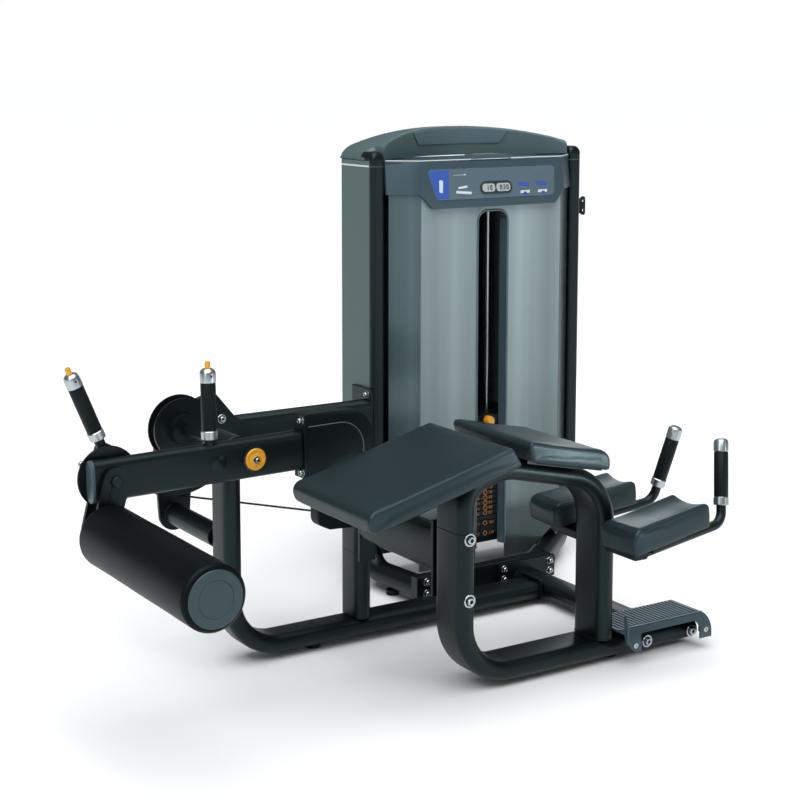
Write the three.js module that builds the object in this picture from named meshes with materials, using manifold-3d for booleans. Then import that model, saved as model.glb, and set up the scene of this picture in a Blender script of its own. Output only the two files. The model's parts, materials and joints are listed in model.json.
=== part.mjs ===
// Prone leg curl machine: bench, swing arm with ankle roller, cable cam and weight tower.
// Units are millimetres. X runs from the user's feet to the head, Y from the bench to the tower,
// and Z is up. Inside the machine group X = 0 is the knee pivot, Y = 0 the middle of the bench
// and Z = 0 the floor; the last lines move the origin to the middle of the footprint.
import * as THREE from 'three';
import { mergeVertices } from 'three/addons/utils/BufferGeometryUtils.js';
import Module from 'manifold-3d';

const wasm = await Module();
wasm.setup();

// ---- driving dimensions -------------------------------------------------------------------
const GAP = 0.3;                 // clearance between pieces that touch
const FOOT_H = 15;               // rubber foot height
const PIVOT_Z = 583;             // knee pivot above the floor
const TUBE = { w: 50, l: 100 };  // flat oval tube of the base
const BENCH = { w: 52, l: 124 }; // flat oval tube of the bench frame
const BEND_R = 140;              // centreline bend radius of both tubes

const RAIL_Y = 475;              // base rail, riser and pad post
const POST_X = 393;              // pad post and front bench post
const REAR_POST_X = 838;         // bench post at the head end
const CROSS_X = 1042;            // floor tube from the bench to the tower
const CROSS_W = 88;              // its width on X
const BENCH_END_X = 1150;        // end of the bench frame's floor rail
const BAR_Y = 582;               // front face of the tower's base bar

const TOWER_X = 1037;            // middle of the weight tower
const COLUMN = { inner: 341, w: 45, front: 804, depth: 182, r: 11, bottom: 130, top: 1283 };
const STACK = { y: 850, w: 300, depth: 160, bottom: 118, plate: 16, count: 22 };
const ROD_X = 60;                // guide rods either side of the tower's middle
const ROD_R = 12.5;

const ARM = { y: 337, w: 40, h: 104, left: -422, right: 140, tilt: -0.95 };
const SHAFT_R = 15;
const ROLLER_PIVOT_X = -375;     // roller bracket's pivot, in the arm's frame
const ROLLER = { x: -409, z: -122, r: 76, near: -278, far: 290 };
const CAM = { y: 770, cable: 188, rim: 192 };
const CABLE_R = 3;
const PULLEY_R = 45;             // cable centreline radius on the pulleys
const CABLE_DROP = 13.87;        // degrees the cable falls from the cam to the tower

const GRIP = { ring: 22, grip: 120, cap: 35, r: 19, rim: 20.5, core: 14, stem: 9 };
const PAD = { thighHalf: 184, chestHalf: 170, thigh: 60, chest: 54 };
const THIGH_TILT = 14.6;         // the two bench pads rise to meet at the hips
const CHEST_TILT = 12.2;
const FOREARM = { l: 269, w: 130, t: 70, x: 788, y: 157, z: 334, yaw: 3.8, pitch: 7.6 };

// ---- materials ----------------------------------------------------------------------------
function finish(color, roughness, metalness) {
  return () => new THREE.MeshStandardMaterial({ color, roughness, metalness });
}
const coated = finish(0x2b2f31, 0.45, 0.3);
const panel = finish(0x5d666b, 0.5, 0.1);
const smoked = finish(0x8f9a9e, 0.25, 0.1);
const leather = finish(0x2a2d2f, 0.5, 0);
const rubber = finish(0x1c1e1f, 0.8, 0);
const foam = finish(0x3a3f42, 0.7, 0);
const alloy = finish(0xc9cdd0, 0.3, 0.9);
const chrome = finish(0xdfe3e6, 0.1, 1);
const steel = finish(0x3c4043, 0.5, 0.7);
const yellow = finish(0xf2b50c, 0.35, 0);

// ---- shape helpers ------------------------------------------------------------------------
const V = (x, y, z) => new THREE.Vector3(x, y, z);
const rad = THREE.MathUtils.degToRad;

function toManifold(geometry) {
  const bare = geometry.clone();
  bare.deleteAttribute('normal');
  bare.deleteAttribute('uv');
  const merged = mergeVertices(bare, 1e-4);
  const vertProperties = new Float32Array(merged.attributes.position.array);
  const triVerts = new Uint32Array(merged.index.array);
  return new wasm.Manifold(new wasm.Mesh({ numProp: 3, vertProperties, triVerts }));
}

function fromManifold(solid) {
  const mesh = solid.getMesh();
  const geometry = new THREE.BufferGeometry();
  geometry.setAttribute('position', new THREE.BufferAttribute(mesh.vertProperties, 3));
  geometry.setIndex(new THREE.BufferAttribute(mesh.triVerts, 1));
  return geometry;
}

function join(...parts) {
  return fromManifold(parts.map(toManifold).reduce((a, b) => a.add(b)));
}

function cut(base, ...tools) {
  return fromManifold(tools.map(toManifold).reduce((a, b) => a.subtract(b), toManifold(base)));
}

function common(a, b) {
  return fromManifold(toManifold(a).intersect(toManifold(b)));
}

function box(x0, x1, y0, y1, z0, z1) {
  const geometry = new THREE.BoxGeometry(x1 - x0, y1 - y0, z1 - z0);
  return geometry.translate((x0 + x1) / 2, (y0 + y1) / 2, (z0 + z1) / 2);
}

// Cylinder along Y between two heights of y.
function rodY(r, x, z, y0, y1, sides = 24) {
  return new THREE.CylinderGeometry(r, r, y1 - y0, sides).translate(x, (y0 + y1) / 2, z);
}

// Cylinder along Z.
function rodZ(r, x, y, z0, z1, sides = 24) {
  const geometry = new THREE.CylinderGeometry(r, r, z1 - z0, sides).rotateX(Math.PI / 2);
  return geometry.translate(x, y, (z0 + z1) / 2);
}

// Outline of a flat oval, sx wide on X and sy on Y, round at the ends of its longer side.
function oval(sx, sy, segments = 5) {
  const r = Math.min(sx, sy) / 2;
  const reach = Math.abs(sx - sy) / 2;
  const points = [];
  for (const side of [1, -1]) {
    for (let i = 0; i <= segments; i += 1) {
      const angle = side * Math.PI * (i / segments - 0.5);
      const along = side * (reach + r * Math.cos(angle));
      const across = r * Math.sin(angle);
      points.push(sx > sy ? new THREE.Vector2(along, across) : new THREE.Vector2(-across, along));
    }
  }
  return new THREE.Shape(points);
}

// Outline of a rectangle with rounded corners, centred on the origin.
function roundedRect(sx, sy, r, segments = 4) {
  const points = [];
  for (let corner = 0; corner < 4; corner += 1) {
    const cx = (corner === 0 || corner === 3 ? 1 : -1) * (sx / 2 - r);
    const cy = (corner < 2 ? 1 : -1) * (sy / 2 - r);
    for (let i = 0; i <= segments; i += 1) {
      const angle = Math.PI / 2 * (corner + i / segments);
      points.push(new THREE.Vector2(cx + r * Math.cos(angle), cy + r * Math.sin(angle)));
    }
  }
  return new THREE.Shape(points);
}

function extrude(shape, depth, options = {}) {
  return new THREE.ExtrudeGeometry(shape, { depth, bevelEnabled: false, curveSegments: 8, ...options });
}

// A shape drawn on X and Z, extruded along Y from y0 to y1.
function plateXZ(shape, y0, y1, options = {}) {
  return extrude(shape, y1 - y0, options).rotateX(Math.PI / 2).translate(0, y1, 0);
}

// A shape drawn on X and Y, extruded along Z.
function plateXY(shape, z0, z1) {
  return extrude(shape, z1 - z0).translate(0, 0, z0);
}

function polygon(points) {
  return new THREE.Shape(points.map(([x, y]) => new THREE.Vector2(x, y)));
}

// A path through hand-picked stations, sampled at exactly those stations.
class Route extends THREE.Curve {
  constructor(stations) {
    super();
    this.stations = stations;
  }

  getPoint(t, target = new THREE.Vector3()) {
    const place = Math.min(Math.max(t, 0), 1) * (this.stations.length - 1);
    const index = Math.min(Math.floor(place), this.stations.length - 2);
    return target.lerpVectors(this.stations[index], this.stations[index + 1], place - index);
  }

  getUtoTmapping(u) {
    return u;
  }
}

// Stations of a bent tube: straight lines between the corners, with an arc at each corner.
function bend(corners, radii, arcSteps = 7) {
  const stations = [corners[0].clone()];
  for (let i = 1; i < corners.length - 1; i += 1) {
    const radius = Array.isArray(radii) ? radii[i - 1] : radii;
    const into = corners[i].clone().sub(corners[i - 1]).normalize();
    const out = corners[i + 1].clone().sub(corners[i]).normalize();
    const turn = into.angleTo(out);
    const start = corners[i].clone().addScaledVector(into, -radius * Math.tan(turn / 2));
    const inward = out.clone().addScaledVector(into, -out.dot(into)).normalize();
    for (let k = 0; k <= arcSteps; k += 1) {
      const angle = turn * k / arcSteps;
      stations.push(start.clone().addScaledVector(into, radius * Math.sin(angle))
        .addScaledVector(inward, radius * (1 - Math.cos(angle))));
    }
  }
  stations.push(corners[corners.length - 1].clone());
  return stations;
}

function sweep(shape, stations) {
  const steps = stations.length - 1;
  return new THREE.ExtrudeGeometry(shape, { steps, bevelEnabled: false, extrudePath: new Route(stations) });
}

// Ring turned round Y from [radius, height] points; the outline is closed here.
function turned(points, sides) {
  const outline = [...points, points[0]].map(([r, h]) => new THREE.Vector2(r, h));
  return new THREE.LatheGeometry(outline, sides);
}

function circle(r, segments = 12) {
  const points = [];
  for (let i = 0; i < segments; i += 1) {
    const angle = 2 * Math.PI * i / segments;
    points.push(new THREE.Vector2(r * Math.cos(angle), r * Math.sin(angle)));
  }
  return new THREE.Shape(points);
}

// A bent tube whose first straight run is vertical: the section's long side lies on Y.
function ovalTube(size, corners, radii) {
  return sweep(oval(size.l, size.w), bend(corners, radii));
}

// A straight flat oval tube along Y.
function ovalTubeY(sizeX, sizeZ, x, z, y0, y1) {
  return plateXZ(oval(sizeX, sizeZ), y0, y1).translate(x, 0, z);
}

const machine = new THREE.Group();

function piece(name, geometry, material, parent = machine) {
  const mesh = new THREE.Mesh(geometry, material());
  mesh.name = name;
  parent.add(mesh);
  return mesh;
}

// ---- base and bench frame -----------------------------------------------------------------
const RAIL_Z = FOOT_H + TUBE.w / 2;
const BENCH_Z = FOOT_H + BENCH.w / 2;
const CROSS_LEFT = CROSS_X - CROSS_W / 2;
const HOUSING = { r: 38, y0: 415, y1: 535 };

function baseRail() {
  const end = CROSS_LEFT - GAP - 10;
  const corners = [V(0, RAIL_Y, PIVOT_Z - 30), V(0, RAIL_Y, RAIL_Z), V(end, RAIL_Y, RAIL_Z)];
  const tube = ovalTube(TUBE, corners, BEND_R);
  const flange = box(end - 1, CROSS_LEFT - GAP, RAIL_Y - 55, RAIL_Y + 55, FOOT_H, 75);
  const housing = rodY(HOUSING.r, 0, PIVOT_Z, HOUSING.y0, HOUSING.y1, 32);
  const bore = rodY(SHAFT_R + 0.6, 0, PIVOT_Z, HOUSING.y0 - 5, HOUSING.y1 + 5);
  return cut(join(tube, flange, housing), bore);
}

// The pad post carries a rounded stop near its top, on the foot side.
function padPost() {
  const tube = plateXY(oval(TUBE.w, TUBE.l), RAIL_Z + TUBE.w / 2 + GAP, 430);
  tube.translate(POST_X, RAIL_Y, 0);
  const stop = new THREE.Shape();
  stop.moveTo(POST_X - 18, 318);
  stop.lineTo(300, 326);
  stop.absarc(300, 361, 35, -Math.PI / 2, -Math.PI, true);
  stop.lineTo(265, 400);
  stop.lineTo(POST_X - 18, 415);
  return join(tube, plateXZ(stop, RAIL_Y - 22, RAIL_Y + 22));
}

function padCrossBeam() {
  const y0 = BENCH.l / 2 + GAP;
  const y1 = RAIL_Y - TUBE.l / 2 - GAP;
  const beam = ovalTubeY(TUBE.w, BENCH.l, POST_X, 351, y0 + 9, y1 - 9);
  const plates = [[y0, y0 + 10], [y1 - 10, y1]];
  return join(beam, ...plates.map(([a, b]) => box(POST_X - 25, POST_X + 25, a, b, 231, 430)));
}

const SEAM_Z = 418;

function benchFrameLower() {
  const corners = [V(POST_X, 0, SEAM_Z), V(POST_X, 0, BENCH_Z), V(BENCH_END_X, 0, BENCH_Z)];
  return ovalTube(BENCH, corners, BEND_R);
}

// Upper frame: front post, two sloping rails under the pads and the bend down to the rear post.
const RIDGE = V(516, 0, 564);
const FOREARM_BAR = { x0: 826, x1: 872, z0: 309, z1: 335, y: 172 };

function padPlate(x0, x1, top, centreX, centreZ, tilt) {
  return box(x0, x1, -70, 70, -8, top).rotateY(rad(tilt)).translate(centreX, 0, centreZ);
}

function benchFrameUpper() {
  const corners = [
    V(REAR_POST_X, 0, BENCH_Z + BENCH.w / 2 + GAP), V(REAR_POST_X, 0, 490), RIDGE,
    V(POST_X, 0, 532.5), V(POST_X, 0, SEAM_Z + GAP),
  ];
  const tube = ovalTube(BENCH, corners, [BEND_R, BEND_R, 76]);
  const bar = FOREARM_BAR;
  return join(
    tube,
    box(bar.x0, bar.x1, -bar.y, bar.y, bar.z0, bar.z1),
    padPlate(-75, 25, 15, 442, 577.2, -THIGH_TILT),
    padPlate(-60, 110, 3, 620, 571.4, CHEST_TILT),
  );
}

function crossTube() {
  const y0 = BENCH.l / 2 + GAP;
  const y1 = BAR_Y - GAP;
  const tube = ovalTubeY(CROSS_W, TUBE.w, CROSS_X, RAIL_Z, y0 + 9, y1 - 9);
  const near = box(CROSS_X - 92, CROSS_X + 108, y0, y0 + 10, FOOT_H + 3, 66);
  const far = box(CROSS_X - 97, CROSS_X + 113, y1 - 10, y1, FOOT_H + 10, 90);
  return join(tube, near, far);
}

// Ribbed plastic step: a cover over the rail's end with a window for the two bolts.
const STEP = { x0: 869, x1: 1160, near: -108, far: 60, top: 90, low: 32, wall: 4 };

function stepSection(inset) {
  const shape = new THREE.Shape();
  const r = 40 - inset;
  shape.moveTo(STEP.far - inset, 70 - (inset ? 10 : 0));
  shape.lineTo(STEP.far - inset, STEP.top - inset - 8);
  shape.lineTo(STEP.far - inset - 8, STEP.top - inset);
  shape.absarc(STEP.near + 40, STEP.top - 40, r, Math.PI / 2, Math.PI, false);
  shape.lineTo(STEP.near + inset, STEP.low - (inset ? 10 : 0));
  return shape;
}

// A shape drawn on Y and Z, extruded along X from x0 to x1.
function plateYZ(shape, x0, x1) {
  return extrude(shape, x1 - x0).rotateY(Math.PI / 2).rotateX(Math.PI / 2).translate(x0, 0, 0);
}

function footplate() {
  const shell = plateYZ(stepSection(0), STEP.x0, STEP.x1);
  const inside = plateYZ(stepSection(STEP.wall), STEP.x0 - 5, STEP.x1 - STEP.wall);
  const window = box(914, 1120, STEP.near - 5, STEP.near + 12, STEP.low - 5, 74);
  const ribs = [];
  for (let x = STEP.x0 + 22; x < STEP.x1 - 20; x += 16) {
    ribs.push(box(x, x + 8, STEP.near + 42, STEP.far - 12, STEP.top - 1, STEP.top + 3));
  }
  const lip = polygon([
    [STEP.near, STEP.low], [STEP.near, 80], [-92, 116], [-72, 134], [-30, 134], [20, 96],
    [STEP.far, 88], [STEP.far, STEP.low],
  ]);
  const notch = box(STEP.x0 - 20, STEP.x0 + 10, -65, 65, 0, 69);
  const wall = cut(plateYZ(lip, STEP.x0 - 4, STEP.x0 + 1), notch);
  return join(cut(shell, inside, window), wall, ...ribs);
}

piece('base_rail', baseRail(), coated);
piece('pad_post', padPost(), coated);
piece('pad_cross_beam', padCrossBeam(), coated);
piece('bench_frame_lower', benchFrameLower(), coated);
piece('bench_frame_upper', benchFrameUpper(), coated);
piece('cross_tube', crossTube(), coated);
piece('footplate', footplate(), panel);
piece('base_rail_foot', rodZ(22, 255, RAIL_Y, 0, FOOT_H - GAP), rubber);
piece('bench_frame_foot', rodZ(24, 885, 0, 0, FOOT_H - GAP), rubber);

// ---- weight tower -------------------------------------------------------------------------
const COLUMN_Y = COLUMN.front + COLUMN.depth / 2;
const COLUMN_X = COLUMN.inner + COLUMN.w / 2;
const BASE_TUBE = { r: 34, z: 51, bend: 76, y: 860, barY: 617 };
const LOWER_PULLEY = V(745, CAM.y, 251.7);
const TOP_PULLEYS = [V(835, STACK.y, 1205), V(TOWER_X - PULLEY_R, STACK.y, 1205)];

function column(side) {
  const x = TOWER_X + side * COLUMN_X;
  const section = roundedRect(COLUMN.w, COLUMN.depth, COLUMN.r);
  const tube = plateXY(section, COLUMN.bottom + GAP, COLUMN.top - GAP);
  tube.translate(x, COLUMN_Y, 0);
  if (side > 0) {
    return tube;
  }
  const p = LOWER_PULLEY;
  const arm = box(x - 8, p.x + 16, p.y + 12, COLUMN.front + 6, p.z - 16, p.z + 16);
  return join(tube, arm, rodY(8, p.x, p.z, p.y - 10, p.y + 14));
}

// Round tube from under a column, forward and inward to the base bar.
function baseTube(x, endX) {
  const { r, z, y, barY } = BASE_TUBE;
  const end = V(endX, barY, z).add(V(endX - x, barY - y, 0).setLength(35));
  const tube = sweep(circle(r, 16), bend([V(x, y, COLUMN.bottom), V(x, y, z), end], BASE_TUBE.bend));
  return cut(tube, box(500, 1500, barY - 100, barY + GAP, 0, 100));
}

function baseBar() {
  return box(665, 1149, BAR_Y, BAR_Y + 35, 22, 94);
}

// Rear floor bar between the columns, its two blocks and the shelf under the stack.
function rearBar() {
  const x = COLUMN_X + 22;
  return join(
    box(TOWER_X - x, TOWER_X + x, 935, 975, 60, COLUMN.bottom),
    box(TOWER_X - x, TOWER_X - x + 60, 925, 975, 0, 61),
    box(TOWER_X + x - 60, TOWER_X + x, 925, 975, 0, 61),
    box(TOWER_X - 140, TOWER_X + 140, STACK.y - 72, 936, 96, STACK.bottom - GAP),
  );
}

// Arched crown over the tower, its front face curved back in plan.
function crown() {
  const half = COLUMN_X + COLUMN.w / 2 + 1;
  const arch = new THREE.Shape();
  arch.moveTo(-half, COLUMN.top);
  arch.lineTo(half, COLUMN.top);
  arch.lineTo(half, COLUMN.top + 10);
  arch.quadraticCurveTo(half - 12, COLUMN.top + 24, half - 46, COLUMN.top + 36);
  arch.quadraticCurveTo(200, 1372, 0, 1372);
  arch.quadraticCurveTo(-200, 1372, 46 - half, COLUMN.top + 36);
  arch.quadraticCurveTo(12 - half, COLUMN.top + 24, -half, COLUMN.top + 10);
  const solid = plateXZ(arch, COLUMN.front - 1, COLUMN.front + COLUMN.depth + 1).translate(TOWER_X, 0, 0);
  const plan = new THREE.Shape();
  plan.moveTo(-half - 1, 700);
  plan.lineTo(-half - 1, 1000);
  plan.lineTo(half + 1, 1000);
  plan.lineTo(half + 1, 700);
  plan.lineTo(half - 1, COLUMN.front - 5);
  plan.lineTo(COLUMN.inner, COLUMN.front + 6);
  plan.quadraticCurveTo(260, 950, 0, 950);
  plan.quadraticCurveTo(-260, 950, -COLUMN.inner, COLUMN.front + 6);
  plan.lineTo(1 - half, COLUMN.front - 5);
  return common(solid, plateXY(plan, 1250, 1400).translate(TOWER_X, 0, 0));
}

// Plan outline of the bowed tower front, offset outward by d.
function frontPlan(d, half, flat, front, back) {
  return [[-half - d, back], [-flat - d / 2, front - d], [flat + d / 2, front - d], [half + d, back]];
}

function bowedShell(half, flat, front, back, wall, z0, z1) {
  const outer = frontPlan(0, half, flat, front, back);
  const inner = frontPlan(-wall, half, flat, front, back).reverse();
  return plateXY(polygon([...outer, ...inner]), z0, z1).translate(TOWER_X, 0, 0);
}

const SHROUD = { half: 331, flat: 258, front: 743, back: 803, wall: 5, z0: 92, z1: 1139, slot: 59 };

function frontShroud() {
  const s = SHROUD;
  const shell = bowedShell(s.half, s.flat, s.front, s.back, s.wall, s.z0, s.z1);
  const slot = new THREE.Shape();
  slot.moveTo(-s.slot, s.z0 - 10);
  slot.lineTo(s.slot, s.z0 - 10);
  slot.lineTo(s.slot, 1095);
  slot.absarc(s.slot - 34, 1095, 34, 0, Math.PI / 2, false);
  slot.absarc(34 - s.slot, 1095, 34, Math.PI / 2, Math.PI, false);
  const opening = plateXZ(slot, s.front - 10, s.front + 20).translate(TOWER_X, 0, 0);
  const notch = box(TOWER_X - 400, 812, s.front - 10, s.back + 10, s.z0 - 5, 330);
  return cut(shell, opening, notch);
}

function rearShroud() {
  return box(TOWER_X - COLUMN.inner + 2, TOWER_X + COLUMN.inner - 2, 978, 984, 140, 1240);
}

// Grey display panel: a bowed band that leans back, deeper in the middle, closed on top by a tray.
const DISPLAY = { half: 337, flat: 262, front: 735, wall: 8, low: 1141, sideLow: 1180 };
const DISPLAY_LEAN = { slope: 0.13, z: 1205 };

function displayPanel() {
  const d = DISPLAY;
  const back = COLUMN.front - 2;
  const { slope, z } = DISPLAY_LEAN;
  const leaning = new THREE.Matrix4();
  leaning.set(1, 0, 0, 0, 0, 1, slope, -slope * z, 0, 0, 1, 0, 0, 0, 0, 1);
  const upright = bowedShell(d.half, d.flat, d.front, back, d.wall, d.low, COLUMN.top - GAP);
  const band = upright.applyMatrix4(leaning);
  const sides = [-1, 1].map((side) => {
    const outer = side * (d.half + 60);
    const shape = polygon([
      [side * (d.flat - 34), d.low - 6], [side * d.flat, d.sideLow], [outer, d.sideLow], [outer, d.low - 6],
    ]);
    return plateXZ(shape, 700, 830).translate(TOWER_X, 0, 0);
  });
  const plan = [...frontPlan(-6, d.half, d.flat, d.front + 7, back), [d.half, 960], [-d.half, 960]];
  const tray = plateXY(polygon(plan), COLUMN.top - 10, COLUMN.top - GAP).translate(TOWER_X, 0, 0);
  const boss = box(TOWER_X - 85, TOWER_X + 70, 756, 800, COLUMN.top - 2, COLUMN.top + 12);
  return join(cut(band, ...sides), tray, boss);
}

// Cross member behind the top pulleys, with their pins and the shelf that holds the rods.
const ROD_TOP = 1143;

function pulleyCarrier() {
  const inner = COLUMN.inner - GAP;
  const bar = box(TOWER_X - inner, TOWER_X + inner, 868, 888, ROD_TOP, 1240);
  const shelf = box(TOWER_X - 95, TOWER_X + 95, STACK.y - 22, 870, ROD_TOP, 1154);
  const pins = TOP_PULLEYS.map((p) => rodY(8, p.x, p.z, p.y - 10, 870));
  const hole = rodZ(9, TOWER_X, STACK.y, ROD_TOP - 5, 1170);
  return cut(join(bar, shelf, ...pins), hole);
}

function weightPlates() {
  const s = STACK;
  const half = s.w / 2;
  const plates = [];
  for (let i = 0; i < s.count; i += 1) {
    const z = s.bottom + i * s.plate;
    plates.push(box(-half, half, -s.depth / 2, s.depth / 2, z, z + s.plate - 1));
  }
  const top = s.bottom + s.count * s.plate - 1;
  const core = box(2 - half, half - 2, 2 - s.depth / 2, s.depth / 2 - 2, s.bottom, top);
  const holes = [-ROD_X, 0, ROD_X].map((x) => rodZ(ROD_R + 1, x, 0, s.bottom - 5, top + 5));
  return cut(join(core, ...plates), ...holes).translate(TOWER_X, s.y, 0);
}

const HEAD_Z = STACK.bottom + STACK.count * STACK.plate;

function headPlate() {
  const s = STACK;
  const plate = box(-s.w / 2, s.w / 2, -s.depth / 2, s.depth / 2, HEAD_Z, HEAD_Z + 26);
  const stem = rodZ(11, 0, 0, s.bottom + 8, HEAD_Z + 50);
  const rods = [-ROD_X, ROD_X].map((x) => rodZ(ROD_R + 1, x, 0, HEAD_Z - 5, HEAD_Z + 40));
  const pinHole = rodY(5, 0, HEAD_Z + 13, -s.depth / 2 - 5, -8);
  return cut(join(plate, stem), ...rods, pinHole).translate(TOWER_X, s.y, 0);
}

function selectorPin() {
  const pin = rodY(4.5, 0, HEAD_Z + 13, -STACK.depth / 2 - 4, -12, 16);
  const knob = rodY(15, 0, HEAD_Z + 13, -STACK.depth / 2 - 34, -STACK.depth / 2 - 3, 20);
  return join(pin, knob).translate(TOWER_X, STACK.y, 0);
}

function pulley(axle, bore = 8.6) {
  const half = [[bore, -7], [PULLEY_R + 4, -7], [PULLEY_R + 4, -6], [PULLEY_R - 4, -3.4]];
  const outline = [...half, ...half.map(([r, y]) => [r, -y]).reverse()];
  return turned(outline, 32).translate(axle.x, axle.y, axle.z);
}

piece('column_left', column(-1), coated);
piece('column_right', column(1), coated);
piece('base_tube_left', baseTube(TOWER_X - COLUMN_X, 700), coated);
piece('base_tube_right', baseTube(TOWER_X + COLUMN_X, 1114), coated);
piece('tower_base_bar', baseBar(), coated);
piece('rear_base_bar', rearBar(), coated);
piece('tower_foot_left', rodZ(20, 681, 740, 0, BASE_TUBE.z - BASE_TUBE.r - GAP), rubber);
piece('tower_foot_right', rodZ(20, 1280, 760, 0, BASE_TUBE.z - BASE_TUBE.r - GAP), rubber);
piece('crown', crown(), panel);
piece('display_panel', displayPanel(), panel);
piece('front_shroud', frontShroud(), smoked);
piece('rear_shroud', rearShroud(), smoked);
piece('pulley_carrier', pulleyCarrier(), coated);
for (const side of [-1, 1]) {
  const name = side < 0 ? 'guide_rod_left' : 'guide_rod_right';
  piece(name, rodZ(ROD_R, TOWER_X + side * ROD_X, STACK.y, STACK.bottom, ROD_TOP - GAP), chrome);
}
piece('weight_plates', weightPlates(), steel);
piece('head_plate', headPlate(), steel);
piece('selector_pin', selectorPin(), yellow);
piece('lower_pulley', pulley(LOWER_PULLEY), rubber);
piece('top_pulley_left', pulley(TOP_PULLEYS[0]), rubber);
piece('top_pulley_centre', pulley(TOP_PULLEYS[1]), rubber);

// Small bracket on the outside of the right column: a block and a flange with two holes.
function accessoryBracket() {
  const x = TOWER_X + COLUMN.inner + COLUMN.w + GAP;
  const block = box(x, x + 29, 838, 866, 1092, 1140);
  const flange = plateXZ(oval(16, 60), 836, 843).translate(x + 36, 0, 1116);
  const holes = [-15, 15].map((z) => rodY(4.5, x + 36, 1116 + z, 830, 850, 16));
  return cut(join(block, flange), ...holes);
}

piece('accessory_bracket', accessoryBracket(), coated);

// ---- knee pivot: fixed bracket, beam, shaft and cable cam ----------------------------------
const BRACKET_Y = [CAM.y + 18, CAM.y + 30];

function hull2(x0, z0, r0, x1, z1, r1) {
  const angle = Math.atan2(z1 - z0, x1 - x0);
  const spread = Math.acos((r0 - r1) / Math.hypot(x1 - x0, z1 - z0));
  const shape = new THREE.Shape();
  shape.absarc(x0, z0, r0, angle + spread, angle - spread + 2 * Math.PI, false);
  shape.absarc(x1, z1, r1, angle - spread, angle + spread, false);
  return shape;
}

function pivotBracket() {
  const [y0, y1] = BRACKET_Y;
  const hanger = plateXZ(hull2(0, PIVOT_Z, 62, 0, 333, 46), y0, y1);
  const ear = plateXZ(polygon([[0, 481], [178, 481], [178, 581], [60, 645], [0, 645]]), y0, y1);
  const tube = rodY(30, 0, 333, RAIL_Y + TUBE.l / 2 + GAP, y0 + 2);
  const bore = rodY(SHAFT_R + 0.6, 0, PIVOT_Z, y0 - 5, y1 + 5);
  return cut(join(hanger, ear, tube), bore);
}

function upperBeam() {
  const end = TOWER_X - COLUMN.inner - COLUMN.w - GAP;
  const y = BRACKET_Y[1] + GAP + TUBE.w / 2;
  const tube = plateYZ(oval(TUBE.w, TUBE.l), 92, end - 9).translate(0, y, 531);
  return join(tube, box(end - 10, end, BRACKET_Y[1] + GAP, 905, 452, 612));
}

function cableCam() {
  const { y, rim, cable } = CAM;
  const groove = cable - CABLE_R - 1;
  const inner = SHAFT_R + GAP;
  const disc = turned([
    [inner, -10], [rim, -10], [rim, -8], [groove, -4], [groove, 4], [rim, 8], [rim, 10], [inner, 10],
  ], 64);
  const reach = 230;
  const sector = new THREE.Shape();
  sector.moveTo(0, 0);
  sector.lineTo(-40, 40);
  sector.lineTo(reach * Math.cos(rad(-114)), reach * Math.sin(rad(-114)));
  sector.lineTo(-reach, -reach);
  sector.lineTo(reach, -reach);
  sector.lineTo(reach * 0.82, 0);
  sector.lineTo(172, 12);
  sector.lineTo(112, 84);
  sector.lineTo(30, 60);
  const wedge = plateXZ(sector, -12, 12);
  const cheeks = [[84, -42, -34], [90, -14, -10.5], [42, -70, -41]];
  const hub = cheeks.map(([r, y0, y1]) => rodY(r, 0, 0, y0, y1, 40));
  const barrel = rodY(40, 0, 0, -42, -9, 32);
  const bore = rodY(SHAFT_R + GAP, 0, 0, -90, 20);
  const solid = cut(join(common(disc, wedge), barrel, ...hub), bore);
  return solid.translate(0, y, PIVOT_Z);
}

piece('pivot_bracket', pivotBracket(), coated);
piece('upper_beam', upperBeam(), coated);
piece('pivot_shaft', rodY(SHAFT_R, 0, PIVOT_Z, ARM.y - ARM.w / 2 + 1, BRACKET_Y[1] + 4), chrome);
piece('cable_cam', cableCam(), steel);

// Drive cable: cam, lower pulley, up the left side and over the two top pulleys.
function driveCable() {
  const drop = rad(CABLE_DROP);
  const start = V(-CAM.cable * Math.sin(drop), CAM.y, PIVOT_Z - CAM.cable * Math.cos(drop));
  const arc = (centre, from, to, steps, y = centre.y) => {
    const points = [];
    for (let i = 0; i <= steps; i += 1) {
      const angle = rad(from + (to - from) * i / steps);
      points.push(V(centre.x + PULLEY_R * Math.cos(angle), y, centre.z + PULLEY_R * Math.sin(angle)));
    }
    return points;
  };
  const stations = [
    start,
    ...arc(LOWER_PULLEY, -90 - CABLE_DROP, 0, 8),
    ...arc(TOP_PULLEYS[0], 180, 90, 7),
    ...arc(TOP_PULLEYS[1], 90, 0, 7),
  ];
  return sweep(circle(CABLE_R, 8), stations);
}

piece('drive_cable', driveCable(), steel);
piece('lift_cable', rodZ(CABLE_R, TOWER_X, STACK.y, HEAD_Z + 50 + GAP, 1205 - GAP, 8), steel);

// ---- hand grips ---------------------------------------------------------------------------
// Local Z runs along the handle, with Z = 0 at the lower face of its collar.
const GRIP_TOP = GRIP.ring + GRIP.grip + GRIP.cap;

// Collar, core and cap in one; buttonR is the bore for the push button, or 0 for a closed cap.
function sleeve(buttonR) {
  const g = GRIP;
  const capZ = g.ring + g.grip;
  const socketTop = capZ + 8;
  const socket = g.stem + 0.4;
  const capR = g.rim - 0.5;
  const boreR = buttonR ? buttonR + 0.5 : 0;
  const profile = [
    [socket, 0], [g.rim, 0], [g.rim, g.ring], [g.core, g.ring], [g.core, capZ], [capR, capZ],
    [capR, GRIP_TOP - 8], [g.rim - 8, GRIP_TOP], [boreR, GRIP_TOP],
    [boreR, socketTop], [socket, socketTop],
  ];
  return turned(profile, 24).rotateX(Math.PI / 2);
}

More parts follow.
